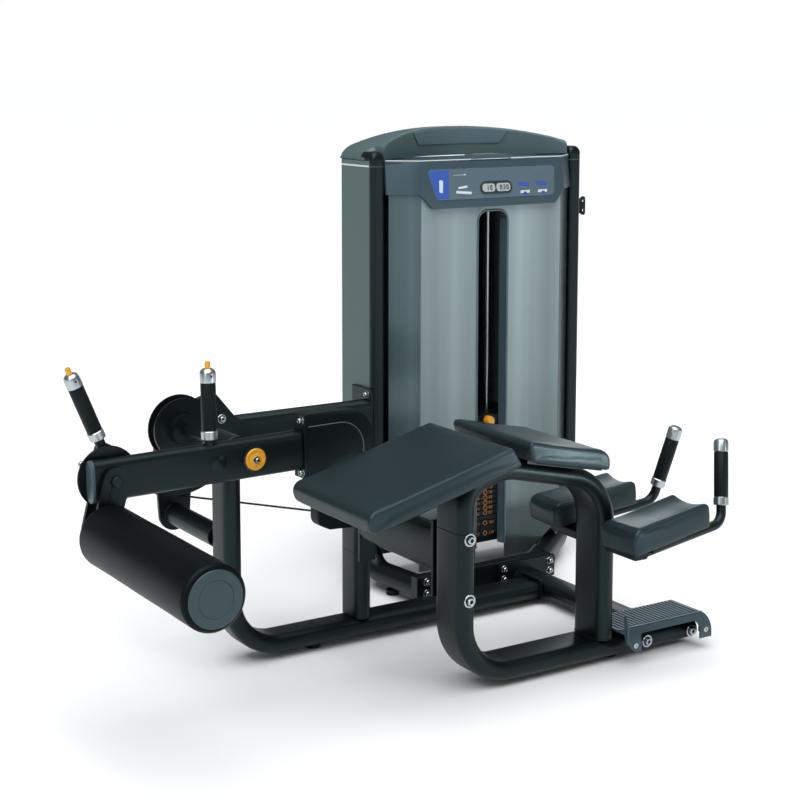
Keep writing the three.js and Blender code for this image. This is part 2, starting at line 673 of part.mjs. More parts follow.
function gripSleeve() {
  const g = GRIP;
  const z0 = g.ring + GAP;
  const z1 = g.ring + g.grip - GAP;
  const bore = g.core + GAP;
  return turned([[bore, z0], [g.r, z0], [g.r, z1], [bore, z1]], 24).rotateX(Math.PI / 2);
}

const BUTTON = { r: 7, z0: GRIP.ring + GRIP.grip + 16, z1: GRIP_TOP + 18 };

function stem(length) {
  return rodZ(GRIP.stem, 0, 0, -length, GRIP.ring + GRIP.grip + 6);
}

// ---- swing arm ----------------------------------------------------------------------------
const arm = new THREE.Group();
arm.position.set(0, 0, PIVOT_Z);
arm.rotation.y = rad(ARM.tilt);
machine.add(arm);

const START_HANDLE_X = -112;
const WEIGHT = { x: 150, h: 84, z: 10, bulge: 260, y0: 309, y1: 365 };
const HANDLE_LIFT = ARM.h / 2 + 10;

function swingArm() {
  const { y, w, h, left, right } = ARM;
  const tube = plateYZ(oval(w, h), left, right).translate(0, y, 0);
  const flange = box(right - 1, right + 10, WEIGHT.y0, WEIGHT.y1, WEIGHT.z - WEIGHT.h, WEIGHT.z + WEIGHT.h);
  const boss = rodY(34, 0, 0, y - w / 2 + 1, y + w / 2 - 1, 32);
  const rollerBoss = rodY(26, ROLLER_PIVOT_X, 0, y - w / 2 + 1, y + w / 2 - 1, 24);
  const quadrant = plateXZ(circle(77, 32), y + w / 2 - 1, y + w / 2 + 6).translate(ROLLER_PIVOT_X, 0, 0);
  const collar = rodZ(15, START_HANDLE_X, y, ARM.h / 2 - 4, HANDLE_LIFT - GAP);
  const core = stem(12).translate(START_HANDLE_X, y, HANDLE_LIFT);
  const bores = [
    rodY(SHAFT_R + 0.6, 0, 0, y - w, y + w),
    rodY(14.6, ROLLER_PIVOT_X, 0, y - w, y + w),
  ];
  return cut(join(tube, flange, boss, rollerBoss, quadrant, collar, core), ...bores);
}

function armEndCap() {
  return plateYZ(oval(ARM.w - 3, ARM.h - 3), ARM.left - 9, ARM.left - GAP).translate(0, ARM.y, 0);
}

function counterweight() {
  const { x, h, z, bulge, y0, y1 } = WEIGHT;
  const shape = new THREE.Shape();
  shape.moveTo(x + GAP, z - h);
  shape.lineTo(bulge, z - h);
  shape.absarc(bulge, z, h, -Math.PI / 2, Math.PI / 2, false);
  shape.lineTo(x + GAP, z + h);
  return plateXZ(shape, y0, y1, { curveSegments: 14 });
}

function pivotMarker() {
  const y = ARM.y - ARM.w / 2 - GAP;
  const steps = [[34, 0, 6, 32], [27, 5, 12, 32], [8, 11, 17, 6]];
  return join(...steps.map(([r, back, front, sides]) => rodY(r, 0, 0, y - front, y - back, sides)));
}

function armHandle(prefix, place, parent) {
  const group = new THREE.Group();
  place(group);
  parent.add(group);
  piece(`${prefix}_sleeve`, sleeve(BUTTON.r), alloy, group);
  piece(`${prefix}_grip`, gripSleeve(), rubber, group);
  piece(`${prefix}_button`, rodZ(BUTTON.r, 0, 0, BUTTON.z0, BUTTON.z1, 20), yellow, group);
}

piece('swing_arm', swingArm(), coated, arm);
piece('arm_end_cap', armEndCap(), panel, arm);
piece('counterweight', counterweight(), coated, arm);
piece('pivot_marker', pivotMarker(), yellow, arm);
armHandle('start_handle', (group) => group.position.set(START_HANDLE_X, ARM.y, HANDLE_LIFT), arm);

// ---- roller bracket and roller ------------------------------------------------------------
const AXLE_R = 12;
const PLATE_NEAR = [303, 313];
const PLATE_FAR = [364, 374];
const KNUCKLE = { x: -373, z: 60, r: 20, y0: 365, y1: 398 };
const ADJUST_HANDLE = { x: -387, y: 381, z: 92, lean: -21.6 };

function rollerBracket() {
  const px = ROLLER_PIVOT_X;
  const { x, z } = ROLLER;
  const near = plateXZ(hull2(px, 0, 34, x, z, 33), ...PLATE_NEAR);
  const far = plateXZ(hull2(px, 0, 34, x, z, 33), ...PLATE_FAR);
  const ear = plateXZ(hull2(px, 0, 30, KNUCKLE.x, KNUCKLE.z, 20), ...PLATE_FAR);
  const knuckle = rodY(KNUCKLE.r, KNUCKLE.x, KNUCKLE.z, KNUCKLE.y0, KNUCKLE.y1);
  const pin = rodY(14, px, 0, PLATE_NEAR[0] - 3, PLATE_FAR[1] + 3);
  const axle = rodY(AXLE_R, x, z, ROLLER.near + 10, PLATE_FAR[1]);
  const neck = rodZ(13, 0, 0, -26, -GAP);
  const tilted = [neck, stem(16)].map((geometry) => geometry
    .rotateY(rad(ADJUST_HANDLE.lean)).translate(ADJUST_HANDLE.x, ADJUST_HANDLE.y, ADJUST_HANDLE.z));
  return join(near, far, ear, knuckle, pin, axle, ...tilted);
}

function rollerFoam() {
  const { r, near, far } = ROLLER;
  const bore = AXLE_R + 0.8;
  const profile = [[bore, near], [r - 10, near], [r, near + 8], [r, far - 8], [r - 10, far], [bore, far]];
  return turned(profile, 40).translate(ROLLER.x, 0, ROLLER.z);
}

piece('roller_bracket', rollerBracket(), coated, arm);
piece('roller', rollerFoam(), foam, arm);
piece('roller_end_cap', rodY(62, ROLLER.x, ROLLER.z, ROLLER.near - 5, ROLLER.near - GAP, 40), panel, arm);
armHandle('adjust_handle', (group) => {
  group.position.set(ADJUST_HANDLE.x, ADJUST_HANDLE.y, ADJUST_HANDLE.z);
  group.rotation.y = rad(ADJUST_HANDLE.lean);
}, arm);

// ---- bench pads ---------------------------------------------------------------------------
// Side outlines have their top left corner at the origin and X along the pad.
function benchPad(outline, half) {
  return plateXZ(polygon(outline), -half, half);
}

function thighPad() {
  const t = PAD.thigh;
  const outline = [
    [-13, -t], [-24, 14 - t], [-27, -t / 2], [-22, -12], [-6, -1], [6, 0], [400, 0], [408, -3], [424, -t],
  ];
  return benchPad(outline, PAD.thighHalf).rotateY(rad(-THIGH_TILT)).translate(45, 0, 553.5);
}

function chestPad() {
  const t = PAD.chest;
  const outline = [[30, -t], [-6, -8], [-2, 0], [240, 0], [260, -8], [270, -26], [272, -t]];
  return benchPad(outline, PAD.chestHalf).rotateY(rad(CHEST_TILT)).translate(492, 0, 660.5);
}

// Forearm pad: a dished top over a flat base, extruded along its length.
function forearmPad() {
  const { l, w, t } = FOREARM;
  const shape = new THREE.Shape();
  shape.moveTo(-w / 2, 0);
  shape.lineTo(w / 2, 0);
  shape.lineTo(w / 2, t - 5);
  shape.lineTo(w / 2 - 6, t);
  shape.quadraticCurveTo(0, t - 24, 6 - w / 2, t);
  shape.lineTo(-w / 2, t - 5);
  return plateYZ(shape, 0, l);
}

function placeForearm(object, side) {
  object.position.set(FOREARM.x, side * FOREARM.y, FOREARM.z);
  object.rotation.order = 'ZYX';
  object.rotation.set(0, rad(-FOREARM.pitch), rad(-side * FOREARM.yaw));
  object.updateMatrix();
}

// Bent tube from the forearm bar, under the pad and up to the handle, with the pad's plate.
const HANDLE_FOOT = V(1164, 127, 398);
const HANDLE_AXIS = V(30, -38, 166).normalize();

function forearmArm(side) {
  const mirror = (v) => V(v.x, v.y * side, v.z);
  const low = HANDLE_FOOT.clone().addScaledVector(HANDLE_AXIS, -46);
  const start = V(FOREARM_BAR.x1 + 2.6, FOREARM.y, 322);
  const top = HANDLE_FOOT.clone().addScaledVector(HANDLE_AXIS, -GAP);
  const tube = sweep(circle(13, 14), bend([top, low, start].map(mirror), 40, 6));
  const holder = new THREE.Object3D();
  placeForearm(holder, side);
  const plate = box(94, 215, -26, 26, -26, -0.5).applyMatrix4(holder.matrix);
  const core = rodZ(GRIP.stem, 0, 0, -20, GRIP.ring + GRIP.grip + 6);
  core.applyQuaternion(new THREE.Quaternion().setFromUnitVectors(V(0, 0, 1), mirror(HANDLE_AXIS)));
  const foot = mirror(HANDLE_FOOT);
  return join(tube, plate, core.translate(foot.x, foot.y, foot.z));
}

piece('thigh_pad', thighPad(), leather);
piece('chest_pad', chestPad(), leather);
for (const side of [-1, 1]) {
  const tag = side < 0 ? 'right' : 'left';
  placeForearm(piece(`forearm_pad_${tag}`, forearmPad(), leather), side);
  piece(`forearm_arm_${tag}`, forearmArm(side), coated);
  const handle = new THREE.Group();
  handle.position.set(HANDLE_FOOT.x, HANDLE_FOOT.y * side, HANDLE_FOOT.z);
  handle.quaternion.setFromUnitVectors(V(0, 0, 1), V(HANDLE_AXIS.x, HANDLE_AXIS.y * side, HANDLE_AXIS.z));
  machine.add(handle);
  piece(`forearm_sleeve_${tag}`, sleeve(0), alloy, handle);
  piece(`forearm_grip_${tag}`, gripSleeve(), rubber, handle);
}

// ---- origin at the middle of the footprint -------------------------------------------------
const bounds = new THREE.Box3().setFromObject(machine, true);
const centre = bounds.getCenter(new THREE.Vector3());
machine.position.set(-centre.x, -centre.y, -bounds.min.z);

export default machine;
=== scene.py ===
import json
import math

import bmesh
import bpy
from mathutils import Matrix, Vector
from mathutils.bvhtree import BVHTree

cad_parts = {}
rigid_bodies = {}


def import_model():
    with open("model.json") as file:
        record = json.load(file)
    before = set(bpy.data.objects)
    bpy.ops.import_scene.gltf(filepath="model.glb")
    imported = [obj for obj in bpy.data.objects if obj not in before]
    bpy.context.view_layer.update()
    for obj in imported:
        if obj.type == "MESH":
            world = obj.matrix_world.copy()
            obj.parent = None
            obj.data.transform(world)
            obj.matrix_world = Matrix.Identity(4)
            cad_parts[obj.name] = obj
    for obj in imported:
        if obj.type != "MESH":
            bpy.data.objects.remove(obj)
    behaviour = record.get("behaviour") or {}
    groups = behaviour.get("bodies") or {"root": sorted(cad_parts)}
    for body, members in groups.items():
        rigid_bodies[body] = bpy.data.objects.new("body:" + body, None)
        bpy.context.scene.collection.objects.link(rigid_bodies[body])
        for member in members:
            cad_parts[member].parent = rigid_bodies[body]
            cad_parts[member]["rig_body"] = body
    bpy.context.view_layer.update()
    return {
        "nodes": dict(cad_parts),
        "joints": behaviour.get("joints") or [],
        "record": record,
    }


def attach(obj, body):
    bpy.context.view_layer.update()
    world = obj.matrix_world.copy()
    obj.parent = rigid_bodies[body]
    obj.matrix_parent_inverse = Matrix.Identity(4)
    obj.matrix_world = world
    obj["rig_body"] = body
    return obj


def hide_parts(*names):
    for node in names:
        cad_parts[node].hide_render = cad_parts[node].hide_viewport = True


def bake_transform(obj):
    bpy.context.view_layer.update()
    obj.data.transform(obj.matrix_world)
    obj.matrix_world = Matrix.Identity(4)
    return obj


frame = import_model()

# ---- drawing frame ---------------------------------------------------------------------------
# Shapes are drawn in millimetres from the knee pivot's foot on the bench's middle plane:
# X towards the head end, Y towards the weight tower, Z up.
JOINTS = {joint["name"]: joint for joint in frame["joints"]}
PIVOT = JOINTS["knee_curl"]["pos_m"]
TO_ROW = Matrix.Translation((PIVOT[0], PIVOT[1] - 0.5, 0)) @ Matrix.Scale(0.001, 4)
# The arm's frame sits at the pivot and leans with the beam. The beam's middle is at ARM_Y, and the ankle
# roller's adjusting pivot at ADJUST_X along it.
PIVOT_Z = 583
ARM_TILT = math.radians(-0.95)
ARM = Matrix.Translation((0, 0, PIVOT_Z)) @ Matrix.Rotation(ARM_TILT, 4, "Y")
ARM_Y = 337
ADJUST_X = -375

# Tube sections, and the planes and middles of the main members.
TUBE = (50, 100)
BENCH_TUBE = (52, 124)
POST_X = 393
REAR_POST_X = 838
RAIL_Y = 475
TOWER_X = 1037
COLUMN_INNER = 341
COLUMN_W = 45
FRONT_Y = 804
BACK_Y = 986
STACK_Y = 850
BEND = 140
THIGH_TILT = -14.6
CHEST_TILT = 12.2
CROWN_HALF = COLUMN_INNER + COLUMN_W + 1
# Away from the tower, which is the side the camera sees.
FORWARD = (0, -1, 0)


def mirror_y(points, side):
    """Points for the left side as they are, or mirrored for the right."""
    return [Vector((p[0], p[1] * side, p[2])) for p in points]


# ---- materials -------------------------------------------------------------------------------
COAT_ROUGHNESS = 0.12
GLOSS_DRIFT = 0.07
LEAST_ROUGH = 0.03
# Reflections off everything but metal are tinted.
COOL_SHEEN = (0.62, 0.90, 1.0, 1)
PAINT_GRAIN = ("noise", 1400, 0.00005)


def surface(name, color, rough, metal=0.0, grain=None, mottle=0.0, specular=0.5, coat=0.0, ripple=None,
            painted_reflection_streaks=None):
    """A painted, moulded or turned surface: fine bump grain, and slow drift in colour and gloss."""
    made = bpy.data.materials.new(name)
    made.use_nodes = True
    tree = made.node_tree

    def feed(node, inputs):
        """Sets each input of a node to a value, or links it to another node's output."""
        for key, value in inputs.items():
            if isinstance(value, bpy.types.NodeSocket):
                tree.links.new(value, node.inputs[key])
            else:
                node.inputs[key].default_value = value

    def output(kind, which, inputs, operation=None):
        """One output of a new node."""
        node = tree.nodes.new("ShaderNode" + kind)
        if operation:
            node.operation = operation
        feed(node, inputs)
        return node.outputs[which]

    def tinted(tone):
        """The surface's colour, lighter or darker by a tone."""
        return output("VectorMath", "Vector", {0: color, "Scale": tone}, "SCALE")

    shader = tree.nodes["Principled BSDF"]
    feed(shader, {"Base Color": (*color, 1), "Roughness": rough, "Metallic": metal, "Coat Weight": coat,
                  "Specular IOR Level": specular, "Coat Roughness": COAT_ROUGHNESS})
    if not metal:
        feed(shader, {"Specular Tint": COOL_SHEEN})
    coords = output("TexCoord", "Object", {})
    if mottle:
        drift = output("TexNoise", "Fac", {"Vector": coords, "Scale": 9, "Detail": 5})
        tone = output("MapRange", "Result", {"Value": drift, "To Min": 1 - mottle, "To Max": 1 + mottle})
        gloss = output("MapRange", "Result", {"Value": drift, "To Min": max(rough - GLOSS_DRIFT, LEAST_ROUGH),
                                              "To Max": rough + GLOSS_DRIFT})
        feed(shader, {"Base Color": tinted(tone), "Roughness": gloss})
    # Painted reflections and shadow: tall noise bands lighten and darken the colour in vertical streaks that
    # stand in for softbox reflections, and a ramp on height darkens the colour towards the bottom as painted
    # shade.
    if painted_reflection_streaks:
        count, depth = painted_reflection_streaks
        tall = output("Mapping", "Vector", {"Vector": coords, "Scale": (count, 2, 0.35)})
        reflection_bands = output("TexNoise", "Fac", {"Vector": tall, "Scale": 0.5, "Detail": 1.5})
        height = output("SeparateXYZ", "Z", {"Vector": coords})
        shade = tree.nodes.new("ShaderNodeValToRGB")
        feed(shade, {"Fac": output("MapRange", "Result", {"Value": height, "From Max": 1.25})})
        stops = shade.color_ramp.elements
        for spot, value in ((0.155, 0.12), (0.185, 0.40), (0.50, 0.80)):
            stops.new(spot).color = (value, value, value, 1)
        stops[0].color = (0.10, 0.10, 0.10, 1)
        tone = output("MapRange", "Result", {"Value": reflection_bands, "From Min": 0.3, "From Max": 0.7,
                                             "To Min": 1 - depth, "To Max": 1 + depth})
        both = output("Math", "Value", {0: tone, 1: shade.outputs["Color"]}, "MULTIPLY")
        feed(shader, {"Base Color": tinted(both)})
    if grain:
        kind, scale, depth = grain
        texture, height = ("TexVoronoi", "Distance") if kind == "cells" else ("TexNoise", "Fac")
        pattern = output(texture, height, {"Vector": coords, "Scale": scale})
        bump = {"Height": pattern, "Strength": 0.6, "Distance": depth}
        if ripple:
            wide = output("TexNoise", "Fac", {"Vector": coords, "Scale": ripple[0], "Detail": 3})
            bump["Normal"] = output("Bump", "Normal", {"Height": wide, "Strength": 0.5, "Distance": ripple[1]})
        feed(shader, {"Normal": output("Bump", "Normal", bump)})
    return made


COAT = surface("powder_coat", (0.0014, 0.0021, 0.0024), 0.38, grain=PAINT_GRAIN, mottle=0.05, specular=0.36)
TOWER_COAT = surface("tower_coat", (0.0020, 0.0029, 0.0032), 0.36,
                     grain=PAINT_GRAIN, mottle=0.05, specular=0.36)
SIDE_PAINT = surface("side_panel_paint", (0.070, 0.104, 0.102), 0.42,
                     grain=("noise", 1800, 0.00006), mottle=0.05)
PLASTIC = surface("crown_plastic", (0.072, 0.108, 0.112), 0.36, grain=("noise", 2600, 0.00012), mottle=0.06)
INSET_PLASTIC = surface("inset_plastic", (0.088, 0.130, 0.146), 0.40,
                        grain=("noise", 2600, 0.00008), mottle=0.05)
DISPLAY = surface("display_plastic", (0.042, 0.066, 0.082), 0.32, grain=("noise", 2600, 0.00005), mottle=0.05)
LABEL = surface("label_film", (0.088, 0.128, 0.158), 0.28, mottle=0.03)
LABEL_BLUE = surface("label_blue", (0.030, 0.085, 0.400), 0.32)
PRINT = surface("label_print", (0.62, 0.66, 0.68), 0.4)
SCREEN_RIM = surface("screen_rim", (0.020, 0.024, 0.030), 0.25, coat=0.3)
SCREEN = surface("screen_glass", (0.42, 0.46, 0.44), 0.22)
SHROUD = surface("smoked_panel", (0.275, 0.338, 0.350), 0.24, coat=0.12, painted_reflection_streaks=(26, 0.26))
# Darker copies of the cover's smoked plastic for the wings and the rear cover: painted shade, not a different
# plastic.
SHROUD_WING_SHADED = surface("smoked_wing_shaded", (0.070, 0.104, 0.112), 0.20, coat=0.2, painted_reflection_streaks=(40, 0.35))
SHROUD_SHADED = surface("smoked_shaded", (0.018, 0.028, 0.032), 0.20, coat=0.15, painted_reflection_streaks=(40, 0.30))
LINER = surface("slot_liner", (0.055, 0.085, 0.105), 0.12, coat=0.6)
STEP = surface("step_plastic", (0.040, 0.062, 0.074), 0.36, grain=("noise", 2200, 0.00012), mottle=0.06)
LEATHER = surface("leatherette", (0.0115, 0.0190, 0.0222), 0.36, specular=0.42, grain=("cells", 1500, 0.00010),
                  mottle=0.12, ripple=(26, 0.0012))
# Thread lighter than the leatherette: partly sewn seams, partly a painted highlight along the pads' edges.
SEAM_AND_HIGHLIGHT = surface("seam_thread_highlight", (0.030, 0.044, 0.048), 0.5)
FOAM = surface("roller_skin", (0.0016, 0.0023, 0.0026), 0.42, specular=0.12,
               grain=("noise", 1600, 0.0002), mottle=0.10)
END_DISC = surface("roller_disc", (0.028, 0.042, 0.048), 0.38, grain=("noise", 2400, 0.0001), mottle=0.05)
RUBBER = surface("grip_rubber", (0.0040, 0.0055, 0.006), 0.5, specular=0.22,
                 grain=("noise", 1500, 0.0003), mottle=0.08)
ALLOY = surface("turned_alloy", (0.46, 0.50, 0.52), 0.30, metal=1.0, grain=("noise", 700, 0.00004), mottle=0.03)
CHROME = surface("chrome", (0.42, 0.46, 0.48), 0.22, metal=1.0)
BLACK_STEEL = surface("black_steel", (0.0040, 0.0056, 0.0064), 0.30, specular=0.3,
                      grain=("noise", 1200, 0.0001), mottle=0.08)
PLATE_STEEL = surface("plate_steel", (0.005, 0.0055, 0.006), 0.42, specular=0.3,
                      grain=("noise", 900, 0.0002), mottle=0.12)
YELLOW = surface("yellow_plastic", (0.66, 0.30, 0.008), 0.32, coat=0.3, mottle=0.03)
ORANGE = surface("orange_print", (0.42, 0.15, 0.012), 0.5)
# Near-black: painted shade in holes and at bolt heads, and the real black of the crown screws and the screen
# digits.
DARK = surface("painted_shade_and_black", (0.004, 0.004, 0.004), 0.7)
WHITE_LINE = surface("white_line", (0.62, 0.66, 0.67), 0.4)


# ---- shape helpers ---------------------------------------------------------------------------
def loose(name, bm, place=TO_ROW):
    """A bmesh placed by a matrix and put in the scene as an object with no material or body yet."""
    bmesh.ops.transform(bm, matrix=place, verts=bm.verts)
    bmesh.ops.recalc_face_normals(bm, faces=bm.faces)
    mesh = bpy.data.meshes.new(name)
    bm.to_mesh(mesh)
    bm.free()
    obj = bpy.data.objects.new(name, mesh)
    bpy.context.scene.collection.objects.link(obj)
    return obj


def claim(obj, body, replaces=()):
    """Says which body an object rides on, and hides the nodes it stands for."""
    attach(obj, body)
    if replaces:
        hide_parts(*replaces)
    return obj


def soften(obj, smooth, bevel, steps):
    """Shades an object smooth up to an angle in degrees, and eases its sharp edges by a width in mm."""
    obj.data.shade_smooth()
    obj.data.set_sharp_from_angle(angle=math.radians(smooth))
    if bevel:
        edge = obj.modifiers.new("edge", "BEVEL")
        edge.width = bevel / 1000
        edge.segments = steps
        edge.limit_method = "ANGLE"
        edge.angle_limit = math.radians(smooth)
        edge.harden_normals = True


def add(name, bm, material, body="frame", place=Matrix(), smooth=35, bevel=0.0, steps=3, replaces=(),
        slot=None):
    """Turns a bmesh drawn in millimetres into a piece that rides on a body."""
    obj = loose(name, bm, TO_ROW @ place)
    obj.data.materials.append(material)
    soften(obj, smooth, bevel, steps)
    return claim(obj, body, replaces)


def body_of(node):
    return frame["nodes"][node]["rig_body"]


def slot_of(node):
    return next(part["material_slot"] for part in frame["record"]["subparts"] if part["node"] == node)


def show(node, bm, material, place=Matrix(), **finish):
    """A piece drawn to stand for a CAD node, on the node's own body."""
    return add(node + "_shown", bm, material, body_of(node), place, replaces=(node,), slot=slot_of(node),
               **finish)


def painted(name, bm, body="frame", place=Matrix(), **finish):
    """A piece of coated steel that belongs with the bench frame."""
    return add(name, bm, COAT, body, place, slot="frame_paint", **finish)


def dressed(node, material, bevel=1.5, smooth=32, steps=3):
    """A CAD node with its edges eased and its curves shaded smooth."""
    bm = bmesh.new()
    bm.from_mesh(frame["nodes"][node].data)
    bmesh.ops.remove_doubles(bm, verts=bm.verts, dist=2e-5)
    bmesh.ops.dissolve_limit(bm, angle_limit=math.radians(1), verts=bm.verts, edges=bm.edges)
    return show(node, bm, material, TO_ROW.inverted(), smooth=smooth, bevel=bevel, steps=steps)


def prism(outline, low, high, axis="Y"):
    """An outline extruded along an axis. Points are (X, Z) along Y, (X, Y) along Z and (Y, Z) along X."""
    order = {"Y": lambda a, b, c: (a, c, b), "Z": lambda a, b, c: (a, b, c),
             "X": lambda a, b, c: (c, a, b)}[axis]
    bm = bmesh.new()
    rings = [[bm.verts.new(order(a, b, c)) for a, b in outline] for c in (low, high)]
    bm.faces.new(rings[0])
    bm.faces.new(rings[1])
    count = len(outline)
    for i in range(count):
        j = (i + 1) % count
        bm.faces.new((rings[0][i], rings[0][j], rings[1][j], rings[1][i]))
    return bm


def rectangle(x0, x1, z0, z1):
    return [(x0, z0), (x1, z0), (x1, z1), (x0, z1)]


def block(x0, x1, y0, y1, z0, z1):
    return prism(rectangle(x0, x1, y0, y1), z0, z1, "Z")


def loft(sections, closed=False):
    """Skin over a row of rings that all have the same number of points."""
    bm = bmesh.new()
    rings = [[bm.verts.new(p) for p in ring] for ring in sections]
    count = len(rings[0])
    pairs = list(zip(rings, rings[1:])) + ([(rings[-1], rings[0])] if closed else [])
    for a, b in pairs:
        for i in range(count):
            j = (i + 1) % count
            bm.faces.new((a[i], a[j], b[j], b[i]))
    if not closed:
        bm.faces.new(rings[0])
        bm.faces.new(rings[-1])
    return bm


def lathe(profile, segments=64):
    """Turns (radius, height) points about local Z. The profile starts and ends on the axis, or closes."""
    bm = bmesh.new()
    rings = []
    for radius, height in profile:
        if radius == 0:
            rings.append([bm.verts.new((0, 0, height))])
            continue
        angles = [2 * math.pi * i / segments for i in range(segments)]
        rings.append([bm.verts.new((radius * math.cos(a), radius * math.sin(a), height)) for a in angles])
    pairs = list(zip(rings, rings[1:]))
    if profile[0][0] and profile[-1][0]:
        pairs.append((rings[-1], rings[0]))
    for a, b in pairs:
        for i in range(segments):
            j = (i + 1) % segments
            if len(a) == 1:
                bm.faces.new((a[0], b[i], b[j]))
            elif len(b) == 1:
                bm.faces.new((a[i], a[j], b[0]))
            else:
                bm.faces.new((a[i], a[j], b[j], b[i]))
    return bm


def merge(*parts):
    """Several bmeshes as one."""
    whole = bmesh.new()
    for part in parts:
        mesh = bpy.data.meshes.new("part")
        part.to_mesh(mesh)
        part.free()
        whole.from_mesh(mesh)
        bpy.data.meshes.remove(mesh)
    return whole


def moved(bm, place):
    bmesh.ops.transform(bm, matrix=place, verts=bm.verts)
    return bm


def oval(width, length, steps=14):
    """Flat oval section: (across, along) points with round ends."""
    radius = width / 2
    reach = (length - width) / 2
    points = []
    for side in (1, -1):
        for i in range(steps + 1):
            angle = math.pi * (i / steps - 0.5)
            points.append((side * radius * math.sin(angle), side * (reach + radius * math.cos(angle))))
    return points


def disc(radius, height, segments):
    """A short solid cylinder that stands on local Z."""
    return lathe([(0, 0), (radius, 0), (radius, height), (0, height)], segments)


def quarter(steps):
    """Angles from nothing to a right angle."""
    return [math.pi / 2 * k / steps for k in range(steps + 1)]


def circle(radius, steps=32):
    return [(radius * math.cos(2 * math.pi * i / steps), radius * math.sin(2 * math.pi * i / steps))
            for i in range(steps)]


def bend(corners, radii, steps=18):
    """Stations of a bent tube, with the tangent at each."""
    corners = [Vector(c) for c in corners]
    radii = radii if isinstance(radii, (list, tuple)) else [radii] * (len(corners) - 2)
    stations = [(corners[0], (corners[1] - corners[0]).normalized())]
    for i in range(1, len(corners) - 1):
        into = (corners[i] - corners[i - 1]).normalized()
        out = (corners[i + 1] - corners[i]).normalized()
        turn = into.angle(out)
        start = corners[i] - into * radii[i - 1] * math.tan(turn / 2)
        inward = (out - into * out.dot(into)).normalized()
        for k in range(steps + 1):
            a = turn * k / steps
            place = start + (into * math.sin(a) + inward * (1 - math.cos(a))) * radii[i - 1]
            stations.append((place, into * math.cos(a) + inward * math.sin(a)))
    stations.append((corners[-1], (corners[-1] - corners[-2]).normalized()))
    return stations


def tube(section, corners, radii, up=(0, 1, 0)):
    """A section swept along a bent path; the section's second number lies along up."""
    rings = []
    for place, tangent in bend(corners, radii):
        along = (Vector(up) - tangent * tangent.dot(Vector(up))).normalized()
        across = tangent.cross(along)
        rings.append([place + across * a + along * b for a, b in section])
    return loft(rings)


def rounded(corners, steps=7):
    """An outline from (x, z, radius) corners, each with its corner arc."""
    points = []
    count = len(corners)
    for i, (x, z, radius) in enumerate(corners):
        here = Vector((x, z))
        before = (Vector(corners[i - 1][:2]) - here).normalized()
        after = (Vector(corners[(i + 1) % count][:2]) - here).normalized()
        if radius == 0:
            points.append((x, z))
            continue
        half = before.angle(after) / 2
        centre = here + (before + after).normalized() * (radius / math.sin(half))
        a = here + before * (radius / math.tan(half)) - centre
        b = here + after * (radius / math.tan(half)) - centre
        sweep = a.angle_signed(b)
        for k in range(steps + 1):
            turn = Matrix.Rotation(-sweep * k / steps, 2)
            p = centre + turn @ a
            points.append((p.x, p.y))
    return points


def rounded_box(x0, x1, z0, z1, radius):
    return rounded([(x, z, radius) for x, z in rectangle(x0, x1, z0, z1)])


def aim(place, direction):
    """Puts local Z along a direction at a place."""
    return Matrix.Translation(Vector(place)) @ Vector(direction).to_track_quat("Z", "Y").to_matrix().to_4x4()


def wire(points, radius, steps=10):
    """A thin round line through points."""
    points = [Vector(p) for p in points]
    rings = []
    normal = None
    for i, p in enumerate(points):
        tangent = (points[min(i + 1, len(points) - 1)] - points[max(i - 1, 0)]).normalized()
        if normal is None:
            normal = tangent.orthogonal().normalized()
        normal = (normal - tangent * normal.dot(tangent)).normalized()
        other = tangent.cross(normal)
        rings.append([p + (normal * math.cos(a) + other * math.sin(a)) * radius
                      for a in [2 * math.pi * k / steps for k in range(steps)]])
    return loft(rings)


# ---- fasteners -------------------------------------------------------------------------------
BOLTS = {}
# Near-black pieces of painted shadow at and in the bolt heads, gathered by body.
PAINTED_BOLT_SHADE = {}


def bolt(place, direction, body="frame", head=9.0, washer=15.0, socket=True):
    """A cap screw on its washer, gathered with the others of its body."""
    w = washer
    spot = aim(place, direction)
    rim = [(0, 0), (w - 1, 0), (w, 0.8), (w, 1.8), (w - 0.8, 2.6), (head + 1.4, 2.6), (head + 1.0, 1.6),
           (head, 1.6)]
    cap = [(head, 8.5), (head - 1.4, 10.5), (head * 0.55, 10.5), (head * 0.5, 10.0), (head * 0.5, 6.0),
           (0, 6.0)]
    BOLTS.setdefault(body, []).append(moved(lathe(rim + cap, 28), spot))
    # Painted shadow: a dark ring at the foot of the head and a dark fill in the socket stand in for the shade
    # there.
    shadow = [lathe([(0, 2.0), (head + 2.6, 2.0), (head + 2.6, 2.9), (0, 2.9)], 28)]
    if socket:
        shadow.append(prism(circle(head * 0.49, 6), 6.0, 9.4, "Z"))
    PAINTED_BOLT_SHADE.setdefault(body, []).append(moved(merge(*shadow), spot))


def fit_bolts():
    """The gathered bolts, one piece of each kind for every body that has any."""
    for body, parts in BOLTS.items():
        add("bolts_" + body, merge(*parts), CHROME, body, smooth=28, slot="bright_steel")
        add("bolt_painted_shade_" + body, merge(*PAINTED_BOLT_SHADE[body]), DARK, body)


